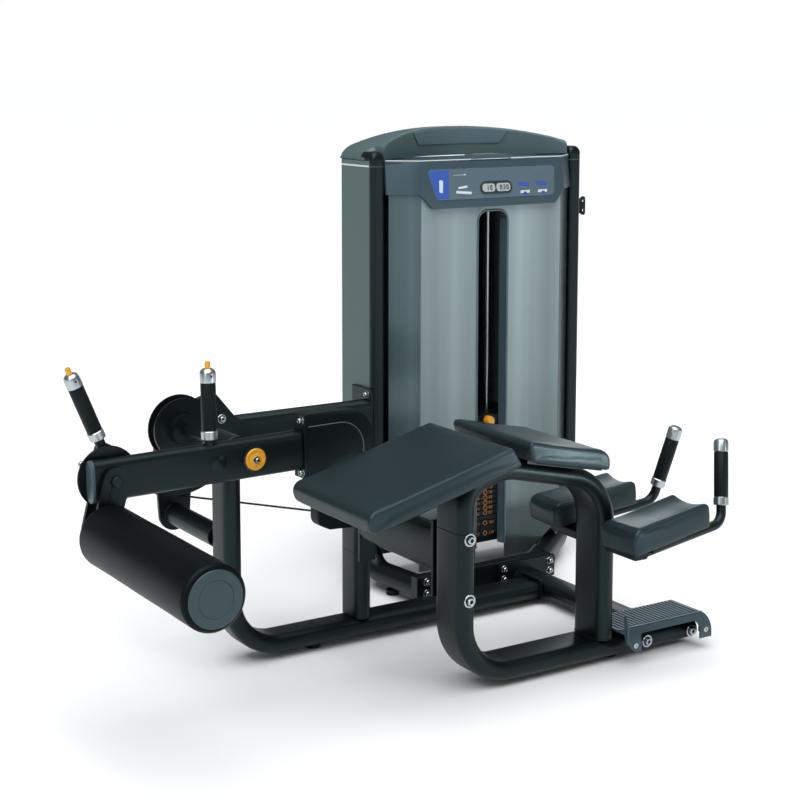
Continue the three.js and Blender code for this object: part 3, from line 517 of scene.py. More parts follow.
# ---- base and bench frame --------------------------------------------------------------------
def base_frame():
    """The floor rail, the bench's two bent tubes, the pad post, and the small plates and feet on them."""
    rail = tube(oval(*TUBE), [(0, RAIL_Y, 553), (0, RAIL_Y, 40), (988, RAIL_Y, 40)], BEND)
    show("base_rail", rail, COAT, bevel=0.8)
    painted("base_rail_end", prism(rounded_box(420, 530, 16, 75, 8), 987.5, 997.7, "X"), bevel=1.2)
    housing = lathe([(15.6, 0), (36, 0), (38, 2), (38, 118), (36, 120), (15.6, 120)])
    painted("shaft_housing", housing, place=aim((0, 415, PIVOT_Z), (0, 1, 0)))
    # Dark discs on the rail's top paint the shade inside its two holes.
    for x in (206, 252):
        add(f"rail_hole_shade_{x}", disc(5, 0.5, 20), DARK, place=aim((x, RAIL_Y, 65), (0, 0, 1)))
    lower = tube(oval(*BENCH_TUBE), [(POST_X, 0, 418), (POST_X, 0, 41), (1150, 0, 41)], BEND)
    show("bench_frame_lower", lower, COAT, bevel=0.8)
    corners = [(REAR_POST_X, 0, 67.3), (REAR_POST_X, 0, 490), (516, 0, 564), (POST_X, 0, 532.5),
               (POST_X, 0, 418.6)]
    show("bench_frame_upper", tube(oval(*BENCH_TUBE), corners, [BEND, BEND, 76]), COAT, bevel=0.8)
    bead = tube(oval(55, 127), [(REAR_POST_X, 0, z) for z in (66, 68, 70)], 0.1)
    painted("rear_post_weld", bead, bevel=1.5)
    painted("forearm_bar", prism(rounded_box(826, 872, 309, 335, 6), -172, 172), bevel=1.2)
    plates = (("thigh", 442, 577.2, THIGH_TILT, (-75, 25), 15),
              ("chest", 620, 571.4, CHEST_TILT, (-60, 110), 3))
    for name, x, z, tilt, reach, top in plates:
        place = Matrix.Translation((x, 0, z)) @ Matrix.Rotation(math.radians(tilt), 4, "Y")
        painted(f"{name}_pad_plate", block(*reach, -70, 70, -8, top), place=place, bevel=1)
    for x, z in ((394, 405), (394, 250), (972, 40), (1128, 40)):
        bolt((x, -61.5, z), FORWARD, head=10, washer=17)
    bolt((POST_X, RAIL_Y - 49.5, 250), FORWARD, head=10, washer=17)
    post = tube(oval(*TUBE), [(POST_X, RAIL_Y, z) for z in (65.3, 250, 430)], 0.1)
    show("pad_post", post, COAT, bevel=0.8)
    stop = rounded([(376, 318, 4), (300, 322, 10), (262, 340, 26), (262, 400, 10), (300, 406, 8),
                    (376, 415, 4)])
    add("pad_post_stop", prism(stop, RAIL_Y - 22, RAIL_Y + 22), RUBBER, bevel=5, slot="frame_paint")
    dressed("pad_cross_beam", COAT, 1.5)
    dressed("cross_tube", COAT, 2)
    for x in (966, 1136):
        for z in (44, 74):
            bolt((x, 571, z), FORWARD, head=7, washer=11, socket=False)
    for node in ("base_rail_foot", "bench_frame_foot", "tower_foot_left", "tower_foot_right"):
        dressed(node, RUBBER, 2.5)


# ---- footplate -------------------------------------------------------------------------------
def baked(obj):
    """Turns an object's modifiers into its mesh."""
    graph = bpy.context.evaluated_depsgraph_get()
    obj.data = bpy.data.meshes.new_from_object(obj.evaluated_get(graph))
    obj.modifiers.clear()
    return obj


def carve(base, *cutters):
    """Cuts closed shapes out of an object and keeps the result as its mesh."""
    for cutter in cutters:
        change = base.modifiers.new("cut", "BOOLEAN")
        change.object = cutter
        change.solver = "EXACT"
    baked(base)
    for cutter in cutters:
        bpy.data.objects.remove(cutter)


def footplate():
    """The moulded step: a folded shell with two windows, its end wall, lip, border, ribs and screws."""
    x0, x1 = 869, 1159
    outer = rounded([(60, 66, 0), (60, 90, 10), (-108, 90, 40), (-108, 32, 3), (-103, 32, 0), (-103, 60, 0),
                     (-90, 83, 10), (54, 84, 6), (54, 66, 0)])
    shell = loose("footplate_shown", prism(outer, x0, x1, "X"))
    window = rounded([(914, 20, 0), (1120, 20, 0), (1120, 80, 16), (914, 80, 16)])
    sweep = [(917 - 48 * math.sin(a), 80 - 48 * math.cos(a)) for a in quarter(10)]
    corner = [(855, 20), (917, 20), *sweep, (855, 80)]
    carve(shell, loose("window", prism(window, -140, -88)), loose("corner", prism(corner, -140, -88)))
    shell.data.materials.append(STEP)
    soften(shell, 32, 1.5, 3)
    claim(shell, "frame", ["footplate"])
    end = rounded([(-108, 32, 3), (-108, 90, 40), (60, 90, 10), (60, 66, 2), (-60, 66, 2), (-60, 32, 3)])
    lip = rounded([(-108, 60, 2), (-108, 100, 14), (-100, 138, 3), (-91, 138, 3), (-93, 100, 12), (-98, 60, 2)])
    flange = rounded([(869, -72, 4), (1158, -72, 4), (1158, -66, 2), (869, -66, 2)])
    folds = (("end", end, 1155, 1160, "X", 2.2), ("lip", lip, 865.5, 870.5, "X", 1.8),
             ("border", flange, 88, 92.5, "Z", 1.4))
    for name, outline, low, high, axis, bevel in folds:
        add(f"footplate_{name}", prism(outline, low, high, axis), STEP, bevel=bevel, slot="step_plastic")
    ribs = []
    count = 21
    for i in range(count):
        x = x0 + 14 + (x1 - x0 - 28) * i / (count - 1)
        ribs.append(prism([(x - 4.4, 89.5), (x - 2.6, 92.4), (x + 2.6, 92.4), (x + 4.4, 89.5)], -62, 48))
    add("footplate_ribs", merge(*ribs), STEP, bevel=0.6, steps=2, slot="step_plastic")
    for x in (893, 1138):
        screw = lathe([(0, 0), (8, 0), (8, 1.6), (6.4, 2.6), (2.6, 2.6), (2.4, 1), (0, 0.8)], 28)
        add(f"footplate_screw_{x}", screw, CHROME, place=aim((x, -108, 56), FORWARD), slot="bright_steel")


# ---- weight tower ----------------------------------------------------------------------------
def tower_side(side, tag):
    """A column with its side panel, trim lines and domed top, and the floor tube that leaves its foot."""
    half = COLUMN_W / 2
    x = TOWER_X + side * (COLUMN_INNER + half)
    front = [(x - half, FRONT_Y, 13), (x + half, FRONT_Y, 13)]
    post = prism(rounded(front + [(x + half, BACK_Y, 11), (x - half, BACK_Y, 11)]), 130.3, 1283, "Z")
    show(f"column_{tag}", post, TOWER_COAT, bevel=0.8)
    face = x + side * half
    panel = block(face - side * 1.2, face + side * 0.6, FRONT_Y + 17, BACK_Y - 8, 150, 1282)
    add(f"side_panel_{tag}", panel, SIDE_PAINT, bevel=0.5, slot="tower_paint")
    line = block(face - side * 1.0, face + side * 0.9, FRONT_Y + 18, BACK_Y - 9, 1264, 1269)
    add(f"panel_line_{tag}", line, WHITE_LINE)
    ring = [(a, b, 1266) for a, b in rounded(front + [(x + half, 830, 1), (x - half, 830, 1)])]
    add(f"column_line_{tag}", wire(ring + ring[:1], 0.9, 6), SIDE_PAINT)
    dome = []
    for a in quarter(8):
        inset = half * 0.62 * (1 - math.cos(a))
        left, right, near, far = x - half + inset, x + half - inset, FRONT_Y + inset * 1.1, FRONT_Y + 66
        shape = rounded([(left, near, 12), (right, near, 12), (right, far, 2), (left, far, 2)])
        dome.append([(p, q, 1283.2 + 25 * math.sin(a)) for p, q in shape])
    add(f"column_dome_{tag}", loft(dome), TOWER_COAT, bevel=0.6, slot="tower_paint")
    floor_x = 700 if side < 0 else 1114
    run = Vector((floor_x - x, 617 - 860, 0))
    end = Vector((floor_x, 617.3, 51)) + run.normalized() * 2
    base = tube(circle(34), [(x, 860, 130), (x, 860, 51), end], 76, up=run.cross(Vector((0, 0, 1))))
    show(f"base_tube_{tag}", base, TOWER_COAT)


def tower_frame():
    """The two columns, and the bars, carrier, cover and bracket that join them."""
    tower_side(-1, "left")
    tower_side(1, "right")
    for node, material, bevel in (("tower_base_bar", TOWER_COAT, 4), ("rear_base_bar", TOWER_COAT, 3),
                                  ("pulley_carrier", TOWER_COAT, 1.5), ("rear_shroud", SHROUD_SHADED, 1.5),
                                  ("accessory_bracket", TOWER_COAT, 3)):
        dressed(node, material, bevel)
    for x in (697, 1130):
        for z in (42, 76):
            bolt((x, 582, z), FORWARD, head=8, washer=12, socket=False)


def crown_front(x):
    """The crown face's Y at a distance from the tower's middle: bowed back between the columns."""
    inner = abs(x) / COLUMN_INNER
    return FRONT_Y + 44 if inner >= 1 else FRONT_Y + 11 + 134 * math.cos(inner * math.pi / 2) ** 0.9


def crown_rise(x):
    """The height of the crown's arched top at a distance from the tower's middle."""
    return 1372 - 62 * (abs(x) / CROWN_HALF) ** 2.4


def crown():
    """The moulded cap across both columns, arched on top, with a screw at either end."""
    sections = []
    count = 96
    for i in range(count + 1):
        x = (-1 + 2 * i / count) * CROWN_HALF
        end = max(0.0, (abs(x) - (CROWN_HALF - 40)) / 40)
        top = crown_rise(x) - 22 * (1 - math.sqrt(max(0.0, 1 - end * end)))
        px = TOWER_X + x
        ease = max(0.0, min(1.0, (abs(x) - COLUMN_INNER + 40) / 40))
        reach = 9 + 16 * ease
        drop = min(9 + 9 * ease, top - 1288)
        front = crown_front(x)
        ring = [(px, front, 1284), (px, BACK_Y + 1, 1284), (px, BACK_Y + 1, top - 5), (px, BACK_Y - 5, top)]
        ring += [(px, front + reach * (1 - math.sin(a)), top - drop * (1 - math.cos(a))) for a in quarter(6)]
        sections.append(ring)
    show("crown", loft(sections), PLASTIC, bevel=1.5, smooth=40)
    for side in (-1, 1):
        screw = lathe([(0, 0), (7, 0), (7, 1), (3, 1.6), (0, 0.6)], 24)
        place = aim((TOWER_X + side * 360, 818, 1302.5), (side * 0.2, -0.3, 1))
        add(f"crown_screw_{side + 1}", screw, DARK, place=place)


def inset_badge():
    """The lighter blank panel let into the crown's curved front."""
    sections = []
    steps = 24
    for i in range(steps + 1):
        ends = []
        for reach in (150, 176):
            x = -reach + 2 * reach * (i / steps)
            z = crown_rise(x) - 6 if reach == 176 else 1318
            ends.append((TOWER_X + x, crown_front(x), z))
        (xb, yb, zb), (xt, yt, zt) = ends
        sections.append([(xb, yb - 3, zb), (xb, yb + 6, zb), (xt, yt + 6, zt), (xt, yt - 3, zt)])
    add("crown_inset", loft(sections), INSET_PLASTIC, bevel=1.2, slot="grey_plastic")


def shroud():
    """Smoked front cover: a flat face with a tall slot, and two wings that run back to the columns."""
    low, high = 92, 1200
    x_left, x_right = 779, 1295
    slot_left, slot_right, slot_top, slot_radius = 983, 1094, 1128, 34
    outline = [(x_left, 50), (1180, 50), (x_right, 130), (x_right, 1180), (x_left, 1180)]
    face = loose("front_shroud_shown", prism(outline, 743, 748))
    slot = rounded([(slot_left, 20, 0), (slot_right, 20, 0), (slot_right, slot_top, slot_radius),
                    (slot_left, slot_top, slot_radius)])
    carve(face, loose("slot", prism(slot, 735, 755)))
    face.data.materials.append(SHROUD)
    claim(face, "frame", ["front_shroud"])
    # Each wing takes a darker copy of the smoked plastic as painted shade.
    for tag, x_in, x_out, z_low, back, shade in (("left", x_left, 706, 330, 2, SHROUD_WING_SHADED),
                                                 ("right", x_right, 1368, low, -2, SHROUD_SHADED)):
        outline = [(x_in, 743), (x_out, 803), (x_out + back, 806), (x_in, 748)]
        add(f"shroud_wing_{tag}", prism(outline, z_low, high, "Z"), shade, slot="smoked_plastic")
        edge = wire([(x_in, 745.5, z) for z in (z_low, (z_low + high) / 2, high)], 3.2, 14)
        add(f"shroud_edge_{tag}", edge, LINER, slot="smoked_plastic")
    level = slot_top - slot_radius
    arch = [(slot_left, low), (slot_left, level)]
    arch += [(1017 - slot_radius * math.cos(a), level + slot_radius * math.sin(a)) for a in quarter(8)[1:]]
    arch += [(1060 + slot_radius * math.sin(a), level + slot_radius * math.cos(a)) for a in quarter(8)]
    arch += [(slot_right, low)]
    add("slot_rim", wire([(x, 744.5, z) for x, z in arch], 4.2, 12), LINER, slot="smoked_plastic")
    for tag, x, lean in (("left", 987, 6), ("right", 1090, -6)):
        wall = [(x - 1.5, 747), (x + 1.5, 747), (x + 1.5 + lean, 768), (x - 1.5 + lean, 768)]
        add(f"slot_wall_{tag}", prism(wall, low, 1100, "Z"), LINER, slot="smoked_plastic")


# The face leans back by this slope about a height. Ink is the depth of printed areas on its film.
LEAN = 0.13
LEAN_Z = 1205
INK = (733.0, 733.6)
OVERPRINT = (732.8, 733.5)
# The bars that are lit for each figure, lettered as on a seven-bar display.
SEGMENTS = {"0": "abcdef", "1": "bc", "2": "abged", "3": "abgcd", "4": "fgbc", "5": "afgcd", "6": "afgecd",
            "7": "abc", "8": "abcdefg", "9": "abcdfg"}


def leant(bm):
    """Tips a piece of the display back with the panel's face."""
    shear = Matrix(((1, 0, 0, 0), (0, 1, LEAN, -LEAN * LEAN_Z), (0, 0, 1, 0), (0, 0, 0, 1)))
    return moved(bm, shear)


def display_panel():
    """The display's moulded body, bowed in plan and deeper in the middle."""
    low, high = 1141, 1282
    side_low = 1182
    steps = 48
    rings = []
    for i in range(steps + 1):
        x = -339 + 678 * i / steps
        inner = abs(x)
        y = 735 + max(0, inner - 262) / 75 * 67
        drop = min(1.0, max(0.0, (262 - inner) / 36))
        z = side_low + (low - side_low) * drop
        ring = [(y, z), (y + 9, z), (y + 14, high), (y + 9, high), (y + 2, high - 4), (y, high - 12)]
        rings.append([(TOWER_X + x, b + LEAN * (c - LEAN_Z), c) for b, c in ring])
    show("display_panel", loft(rings), DISPLAY, bevel=1.6, smooth=25)
    plan = [(-337, 806), (-262, 752), (262, 752), (337, 806), (337, 960), (-337, 960)]
    tray = prism([(TOWER_X + x, y) for x, y in plan], 1274, 1281, "Z")
    add("display_tray", tray, DISPLAY, bevel=1.5, slot="grey_plastic")
    edge = [(-337, 812), (-262, 747), (0, 746), (262, 747), (337, 812)]
    add("display_tray_edge", wire([(TOWER_X + x, y, 1282) for x, y in edge], 1.5, 8), WHITE_LINE)
    boss = prism(rounded([(955, 1280, 1), (975, 1294, 6), (1090, 1294, 6), (1110, 1280, 1)]), 745, 800)
    add("display_boss", boss, DISPLAY, bevel=3, slot="grey_plastic")
    lid = prism(rounded([(990, 1293.5, 0.5), (994, 1296, 1), (1068, 1296, 1), (1072, 1293.5, 0.5)]), 752, 792)
    add("display_boss_lid", lid, PLASTIC, bevel=1, slot="grey_plastic")


def display_label():
    """The film on the display: plain blocks and bars, and two small screens, with no words."""
    film = rounded([(826, 1166, 14), (1258, 1166, 16), (1266, 1256, 12), (802, 1256, 12), (802, 1240, 10)])
    add("label_plate", leant(prism(film, 733.4, 736)), LABEL, bevel=0.6, slot="grey_plastic")
    blue = rounded([(828, 1170, 2), (868, 1170, 3), (874, 1252, 2), (806, 1252, 8), (806, 1238, 6)])
    add("label_blue_field", leant(prism(blue, *INK)), LABEL_BLUE)
    rim = rounded_box(982, 1100, 1178, 1216, 18)
    add("screen_rim", leant(prism(rim, 731.2, 735)), SCREEN_RIM, bevel=1.2)
    for tag, a, b in (("left", 990, 1036), ("right", 1041, 1092)):
        add(f"screen_{tag}", leant(prism(rounded_box(a, b, 1185, 1209, 10), 730.6, 731.4)), SCREEN)
    digits = []
    for x, character in ((1004, "1"), (1018, "0"), (1054, "0"), (1066, "3"), (1078, "0")):
        digits += digit(character, x, 1190, (729.9, 730.7), 7, 14, 2.0)
    add("screen_digits", leant(merge(*digits)), DARK)
    shapes = [rounded([(895, 1184, 2), (950, 1180, 2), (952, 1187, 2), (897, 1192, 2)]),
              rounded([(905, 1196, 3), (940, 1200, 3), (936, 1206, 3), (903, 1202, 3)])]
    shapes += [rectangle(890, 890 + w, 1236, 1239) for w in (44, 38)]
    shapes += [[(x, 1176), (x + 34, 1176), (x + 36, 1184), (x + 2, 1184)] for x in (1130, 1196)]
    add("label_figures", leant(merge(*[prism(shape, *INK) for shape in shapes])), PRINT)
    strips = [prism(rounded([(x, 1200, 3), (x + 40, 1196, 3), (x + 44, 1206, 3), (x + 4, 1210, 3)]), *INK)
              for x in (1122, 1190)]
    strips += [prism(rectangle(x, x + 12, 1170, 1180), *OVERPRINT) for x in (1142, 1210)]
    add("label_strips", leant(merge(*strips)), LABEL_BLUE)
    figure = rounded([(836, 1190, 3), (848, 1186, 3), (852, 1222, 4), (838, 1226, 4)])
    add("label_person", leant(merge(prism(figure, *OVERPRINT))), PRINT)


def digit(character, x, z, depth, w, h, t):
    """The bars, t wide, of one seven-bar digit that faces the front."""
    bars = {"a": (0, h - t, w, h), "b": (w - t, h / 2, w, h), "c": (w - t, 0, w, h / 2), "d": (0, 0, w, t),
            "e": (0, 0, t, h / 2), "f": (0, h / 2, t, h), "g": (0, h / 2 - t / 2, w, h / 2 + t / 2)}
    return [prism(rectangle(x + a, x + c, z + b, z + d), *depth)
            for a, b, c, d in (bars[key] for key in SEGMENTS[character])]


def number(value, x, z, y):
    """A whole number printed on a plate, read from the front."""
    parts = []
    for i, character in enumerate(str(value)):
        parts += digit(character, x + i * 7.0, z, (y, y + 0.6), 5.0, 9.0, 1.3)
    return parts


# ---- weight stack ----------------------------------------------------------------------------
STACK = {"front": 770, "back": 930, "bottom": 118, "pitch": 16, "count": 22, "unmarked": (1, 3)}


def weight_stack():
    """The plates with their generic numbers and pin holes, the head plate, the rods and the pin."""
    plates = []
    for i in range(STACK["count"]):
        z = STACK["bottom"] + i * STACK["pitch"]
        plates.append(block(TOWER_X - 150, TOWER_X + 150, STACK["front"], STACK["back"], z + 0.4, z + 15))
    show("weight_plates", merge(*plates), PLATE_STEEL, bevel=1.6, steps=2)
    rings = []
    holes = []
    marks = []
    front = STACK["front"]
    for i in range(STACK["count"]):
        if i in STACK["unmarked"]:
            continue
        z = STACK["bottom"] + (i + 0.5) * STACK["pitch"]
        place = aim((TOWER_X, front - 0.2, z), FORWARD)
        rings.append(moved(lathe([(5.4, 0), (7.4, 0), (7.4, 1), (5.4, 1)], 28), place))
        # A dark disc in each pin hole is painted shade.
        holes.append(moved(disc(5.4, 0.6, 20), place))
        place_in_stack = STACK["count"] - i + 1
        marks += number(5 * place_in_stack, TOWER_X + 14, z - 5, front - 1.0)
        marks += number(place_in_stack, TOWER_X - 34, z - 5, front - 1.0)
    add("plate_rings", merge(*rings), ORANGE)
    add("plate_hole_shade", merge(*holes), DARK)
    add("plate_numbers", merge(*marks), ORANGE)
    dressed("head_plate", PLATE_STEEL, 1.2)
    for node in ("guide_rod_left", "guide_rod_right"):
        dressed(node, CHROME, 0)
    knob_z = STACK["bottom"] + STACK["count"] * STACK["pitch"] + 13
    profile = [(0, -74), (4.5, -74), (4.5, 2), (13, 3), (15, 6), (15, 22), (11, 30), (0, 32)]
    show("selector_pin", lathe(profile, 40), YELLOW, aim((TOWER_X, front - 2, knob_z), FORWARD))


# ---- pivot side ------------------------------------------------------------------------------
def pivot_side():
    dressed("pivot_bracket", COAT, 2)
    dressed("upper_beam", COAT, 1.5)
    dressed("pivot_shaft", BLACK_STEEL, 1)
    dressed("cable_cam", BLACK_STEEL, 1.2, smooth=24)
    for node in ("lower_pulley", "top_pulley_left", "top_pulley_centre"):
        dressed(node, BLACK_STEEL, 1, smooth=24)
    mesh = frame["nodes"]["drive_cable"].data
    mesh.materials.clear()
    mesh.materials.append(BLACK_STEEL)
    bolt((132, 759, 590), FORWARD, "cam", head=8, washer=13)
    for z in (596, 468):
        bolt((640.4, 817, z), (-1, 0, 0), head=7, washer=11)


def lift_cable():
    """The stack's cable: a round line up the tower's middle over the CAD cable's height, standing in for it."""
    node = frame["nodes"]["lift_cable"]
    heights = [1000 * (node.matrix_world @ v.co).z for v in node.data.vertices]
    low, high = min(heights), max(heights)
    points = [Vector((TOWER_X, STACK_Y, low + (high - low) * k / 40)) for k in range(41)]
    cable = loose("lift_cable_shown", wire(points, 3, 12))
    cable.data.materials.append(BLACK_STEEL)
    cable.data.shade_smooth()
    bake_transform(cable)
    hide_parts("lift_cable")


# ---- swing arm -------------------------------------------------------------------------------
RING, GRIP, CAP = 22, 120, 35
HANDLE_TOP = RING + GRIP + CAP


def grip(sleeve, rubber, place, end, bore):
    """A handle: its alloy sleeve, seen as a ring below and a cap above, and the rubber between them."""
    ring = [(9.4, 0), (19, 0), (20.5, 1.5), (20.5, 20), (18.6, RING), (9.4, RING)]
    show(sleeve, merge(lathe(ring, 56), lathe(end, 56)), ALLOY, place)
    low, high = RING + 0.4, RING + GRIP - 0.4
    skin = [(bore, low), (18, low), (19, RING + 2), (19.2, RING + 60), (19, RING + GRIP - 2), (18, high),
            (bore, high)]
    show(rubber, lathe(skin, 56), RUBBER, place)


def button_handle(prefix, place):
    """A handle with a push button in its end."""
    top = HANDLE_TOP
    end = [(14.3, 142), (18.5, 142), (20, 143.5), (20, top - 10), (17.5, top - 4), (12.5, top), (7.5, top),
           (7.5, 152), (14.3, 152)]
    grip(f"{prefix}_sleeve", f"{prefix}_grip", place, end, 14.3)
    # A dark disc on the sleeve paints the shade in the grub screw's hole.
    spot = place @ aim((0, -19.8, 160), FORWARD)
    add(f"{prefix}_grub_hole_shade", disc(2.6, 0.5, 16), DARK, body_of(f"{prefix}_sleeve"), spot)
    button = lathe([(0, 158), (7, 158), (7, 192), (5.6, 194.6), (0, 195)], 40)
    show(f"{prefix}_button", button, YELLOW, place)


def swing_arm():
    """The swinging beam with its counterweight, pivot marker, plug, index plate and start handle."""
    def beam(width, depth, steps, low, high):
        return prism([(ARM_Y + a, b) for a, b in oval(width, depth, steps)], low, high, "X")

    show("swing_arm", beam(40, 104, 12, -422, 141), COAT, ARM, bevel=0.8)
    show("arm_end_cap", beam(42, 105, 14, -431, -422.3), STEP, ARM, bevel=2.5)
    flange = prism(rounded_box(309, 365, -74, 94, 3), 141, 150, "X")
    painted("arm_flange", flange, "arm", ARM, bevel=1.2)
    corners = [(150.3, -74, 2), (346, -74, 84), (346, 94, 84), (150.3, 94, 2)]
    show("counterweight", prism(rounded(corners, 22), 309, 365), COAT, ARM, bevel=6, steps=4)
    # A thin raised bead along the counterweight's groove, in the lighter side-panel paint: the groove's shape,
    # with a painted highlight on it.
    groove_highlight = [(152, 308.7, 62), *[(246 + 70 * math.sin(a), 308.7, -8 + 70 * math.cos(a)) for a in quarter(16)],
              (316, 308.7, -60)]
    add("counterweight_groove_highlight", wire(groove_highlight, 1.4), SIDE_PAINT, "arm", ARM)
    for z in (78, -58):
        bolt(ARM @ Vector((141, 323, z)), ARM.to_3x3() @ Vector((-1, 0, 0)), "arm", head=8, washer=12)
    marker = ARM @ aim((0, 317, 0), FORWARD)
    ring = lathe([(0, 0), (34, 0), (34, 5), (32, 6.2), (0, 6.2)], 64)
    add("pivot_marker_ring", ring, BLACK_STEEL, "arm", marker, slot="yellow_accent")
    face = [(0, 5), (27, 5), (28, 6.5), (28, 9.5), (26, 11.2), (19, 11.6), (17.5, 10.8), (16, 11.6), (0, 12)]
    show("pivot_marker", lathe(face, 64), YELLOW, marker)
    bolt(ARM @ Vector((0, 304.8, 0)), FORWARD, "arm", head=6, washer=9)
    plug = lathe([(0, 0), (22, 0), (22, 1.2), (20.5, 2.2), (0, 2.6)], 48)
    add("arm_plug", plug, BLACK_STEEL, "arm", ARM @ aim((-98, 317.2, 2), FORWARD))
    quadrant = moved(prism(circle(77, 64), 357.2, 363), Matrix.Translation((ADJUST_X, 0, 0)))
    painted("arm_quadrant", quadrant, "arm", ARM, bevel=0.8)
    collar = lathe([(0, -10), (15, -10), (15, 9.6), (0, 9.6)], 48)
    painted("start_handle_collar", collar, "arm", ARM @ aim((-112, ARM_Y, 52), (0, 0, 1)), bevel=1)
    button_handle("start_handle", ARM @ Matrix.Translation((-112, ARM_Y, 62)))


def roller_assembly():
    """The bracket that carries the ankle roller, with its adjusting handle, pins and the roller itself."""
    body = "roller_carrier"
    dressed("roller_bracket", COAT, 1.5, smooth=28)
    lean = Matrix.Rotation(math.radians(-21.6), 4, "Y")
    button_handle("adjust_handle", ARM @ Matrix.Translation((-387, 381, 92)) @ lean)
    plug = lathe([(0, 0), (14, 0), (14, 2.4), (12.6, 3.6), (0, 4)], 40)
    add("roller_pivot_cap", plug, BLACK_STEEL, body, ARM @ aim((ADJUST_X, 300, 0), FORWARD))
    for dx, dz, r in ((32, 50, 5), (-62, 38, 8)):
        pin = lathe([(0, 0), (r, 0), (r, 5), (r - 1.5, 7), (0, 7.4)], 24)
        place = ARM @ aim((ADJUST_X + dx, 364, dz), FORWARD) @ Matrix.Translation((0, 0, -6))
        add(f"index_pin_{r}", pin, CHROME, body, place)
    x, z, r = -409, -122, 76
    near, far = -278, 290
    profile = [(12.8, near), (63, near)]
    profile += [(63 + 13 * math.sin(a), near + 13 - 13 * math.cos(a)) for a in quarter(8)[1:]]
    profile += [(r - 0.8, near + 140), (r - 0.4, (near + far) / 2), (r - 0.8, far - 140)]
    profile += [(63 + 13 * math.cos(a), far - 13 + 13 * math.sin(a)) for a in quarter(8)] + [(12.8, far)]
    place = ARM @ Matrix.Translation((x, 0, z)) @ Matrix.Rotation(math.radians(-90), 4, "X")
    show("roller", lathe(profile, 96), FOAM, place)
    cap = [(0, 0), (63, 0), (64, 1.2), (64, 2.6), (62, 4.2), (41.6, 5.4), (41, 4.6), (40.4, 5.4), (0, 6.2)]
    show("roller_end_cap", lathe(cap, 96), END_DISC, ARM @ aim((x, near + 0.4, z), FORWARD))


# ---- pads ------------------------------------------------------------------------------------
def inflate(obj, cap, pinned):
    """Fills a remeshed pad with cloth pressure, keeping pinned points and capping the movement."""
    mesh = obj.data
    before = [v.co.copy() for v in mesh.vertices]
    group = obj.vertex_groups.new(name="pinned")
    group.add([i for i, co in enumerate(before) if pinned(co)], 1.0, "REPLACE")
    cloth = obj.modifiers.new("cloth", "CLOTH")
    settings = cloth.settings
    settings.quality = 4
    settings.mass = 0.4
    settings.tension_stiffness = 24
    settings.compression_stiffness = 24
    settings.shear_stiffness = 12
    settings.bending_stiffness = 2.0
    settings.use_pressure = True
    settings.uniform_pressure_force = 4
    settings.vertex_group_mass = "pinned"
    settings.effector_weights.gravity = 0
    cloth.collision_settings.use_collision = False
    scene = bpy.context.scene
    for number in range(1, 21):
        scene.frame_set(number)
    graph = bpy.context.evaluated_depsgraph_get()
    after = [v.co.copy() for v in obj.evaluated_get(graph).data.vertices]
    obj.modifiers.remove(cloth)
    obj.vertex_groups.remove(group)
    scene.frame_set(1)
    for vertex, a, b in zip(mesh.vertices, before, after):
        step = b - a
        vertex.co = a + step * min(1.0, cap / max(step.length, 1e-9))
    mesh.update()


def make_pad(node, bm, place, floor_z, cap=0.0018, voxel=0.005):
    """A stuffed pad: remeshed, blown up a little and smoothed, flat where it rests on its board."""
    obj = loose(node + "_shown", bm, Matrix.Scale(0.001, 4))
    remesh = obj.modifiers.new("remesh", "REMESH")
    remesh.mode = "VOXEL"
    remesh.voxel_size = voxel
    baked(obj)
    inflate(obj, cap, lambda co: co.z < floor_z / 1000 + 0.006)
    even = obj.modifiers.new("even", "SMOOTH")
    even.factor = 0.5
    even.iterations = 2
    finer = obj.modifiers.new("finer", "SUBSURF")
    finer.levels = finer.render_levels = 1
    baked(obj)
    obj.data.transform(TO_ROW @ place @ Matrix.Scale(1000, 4))
    obj.data.materials.clear()
    obj.data.materials.append(LEATHER)
    obj.data.shade_smooth()
    claim(obj, "frame", [node])
    return obj


def seam(name, pad, points, radius=0.9, closed=True):
    """A sewn line laid on a pad's surface along drawing-frame points, in a lighter thread that also paints the
    highlight along the pad's edge.
    """
    mesh = pad.data
    tree = BVHTree.FromPolygons([v.co for v in mesh.vertices], [p.vertices for p in mesh.polygons])
    back = TO_ROW.inverted()
    laid = []
    for p in points:
        hit = tree.find_nearest(TO_ROW @ Vector(p))
        laid.append(back @ hit[0])
    if closed:
        laid.append(laid[0])
    fine = []
    for a, b in zip(laid, laid[1:]):
        steps = max(1, int((b - a).length / 8))
        for k in range(steps):
            hit = tree.find_nearest(TO_ROW @ (a + (b - a) * k / steps))
            fine.append(back @ hit[0])
    fine.append(laid[-1])
    add(name, wire(fine, radius, 8), SEAM_AND_HIGHLIGHT, slot="leatherette")


def inset_outline(outline, distance):
    """Points moved towards the middle of the outline by about a distance."""
    count = len(outline)
    points = []
    for i in range(count):
        a, b, c = Vector(outline[i - 1]), Vector(outline[i]), Vector(outline[(i + 1) % count])
        edge = (c - a).normalized()
        points.append(b + Vector((-edge.y, edge.x)) * distance)
    area = sum(outline[i - 1][0] * outline[i][1] - outline[i][0] * outline[i - 1][1] for i in range(count))
    if area < 0:
        points = [Vector(o) * 2 - p for o, p in zip([Vector(q) for q in outline], points)]
    return [(p.x, p.y) for p in points]


# A pad starts this far above the underside of its board.
BOARD = 4


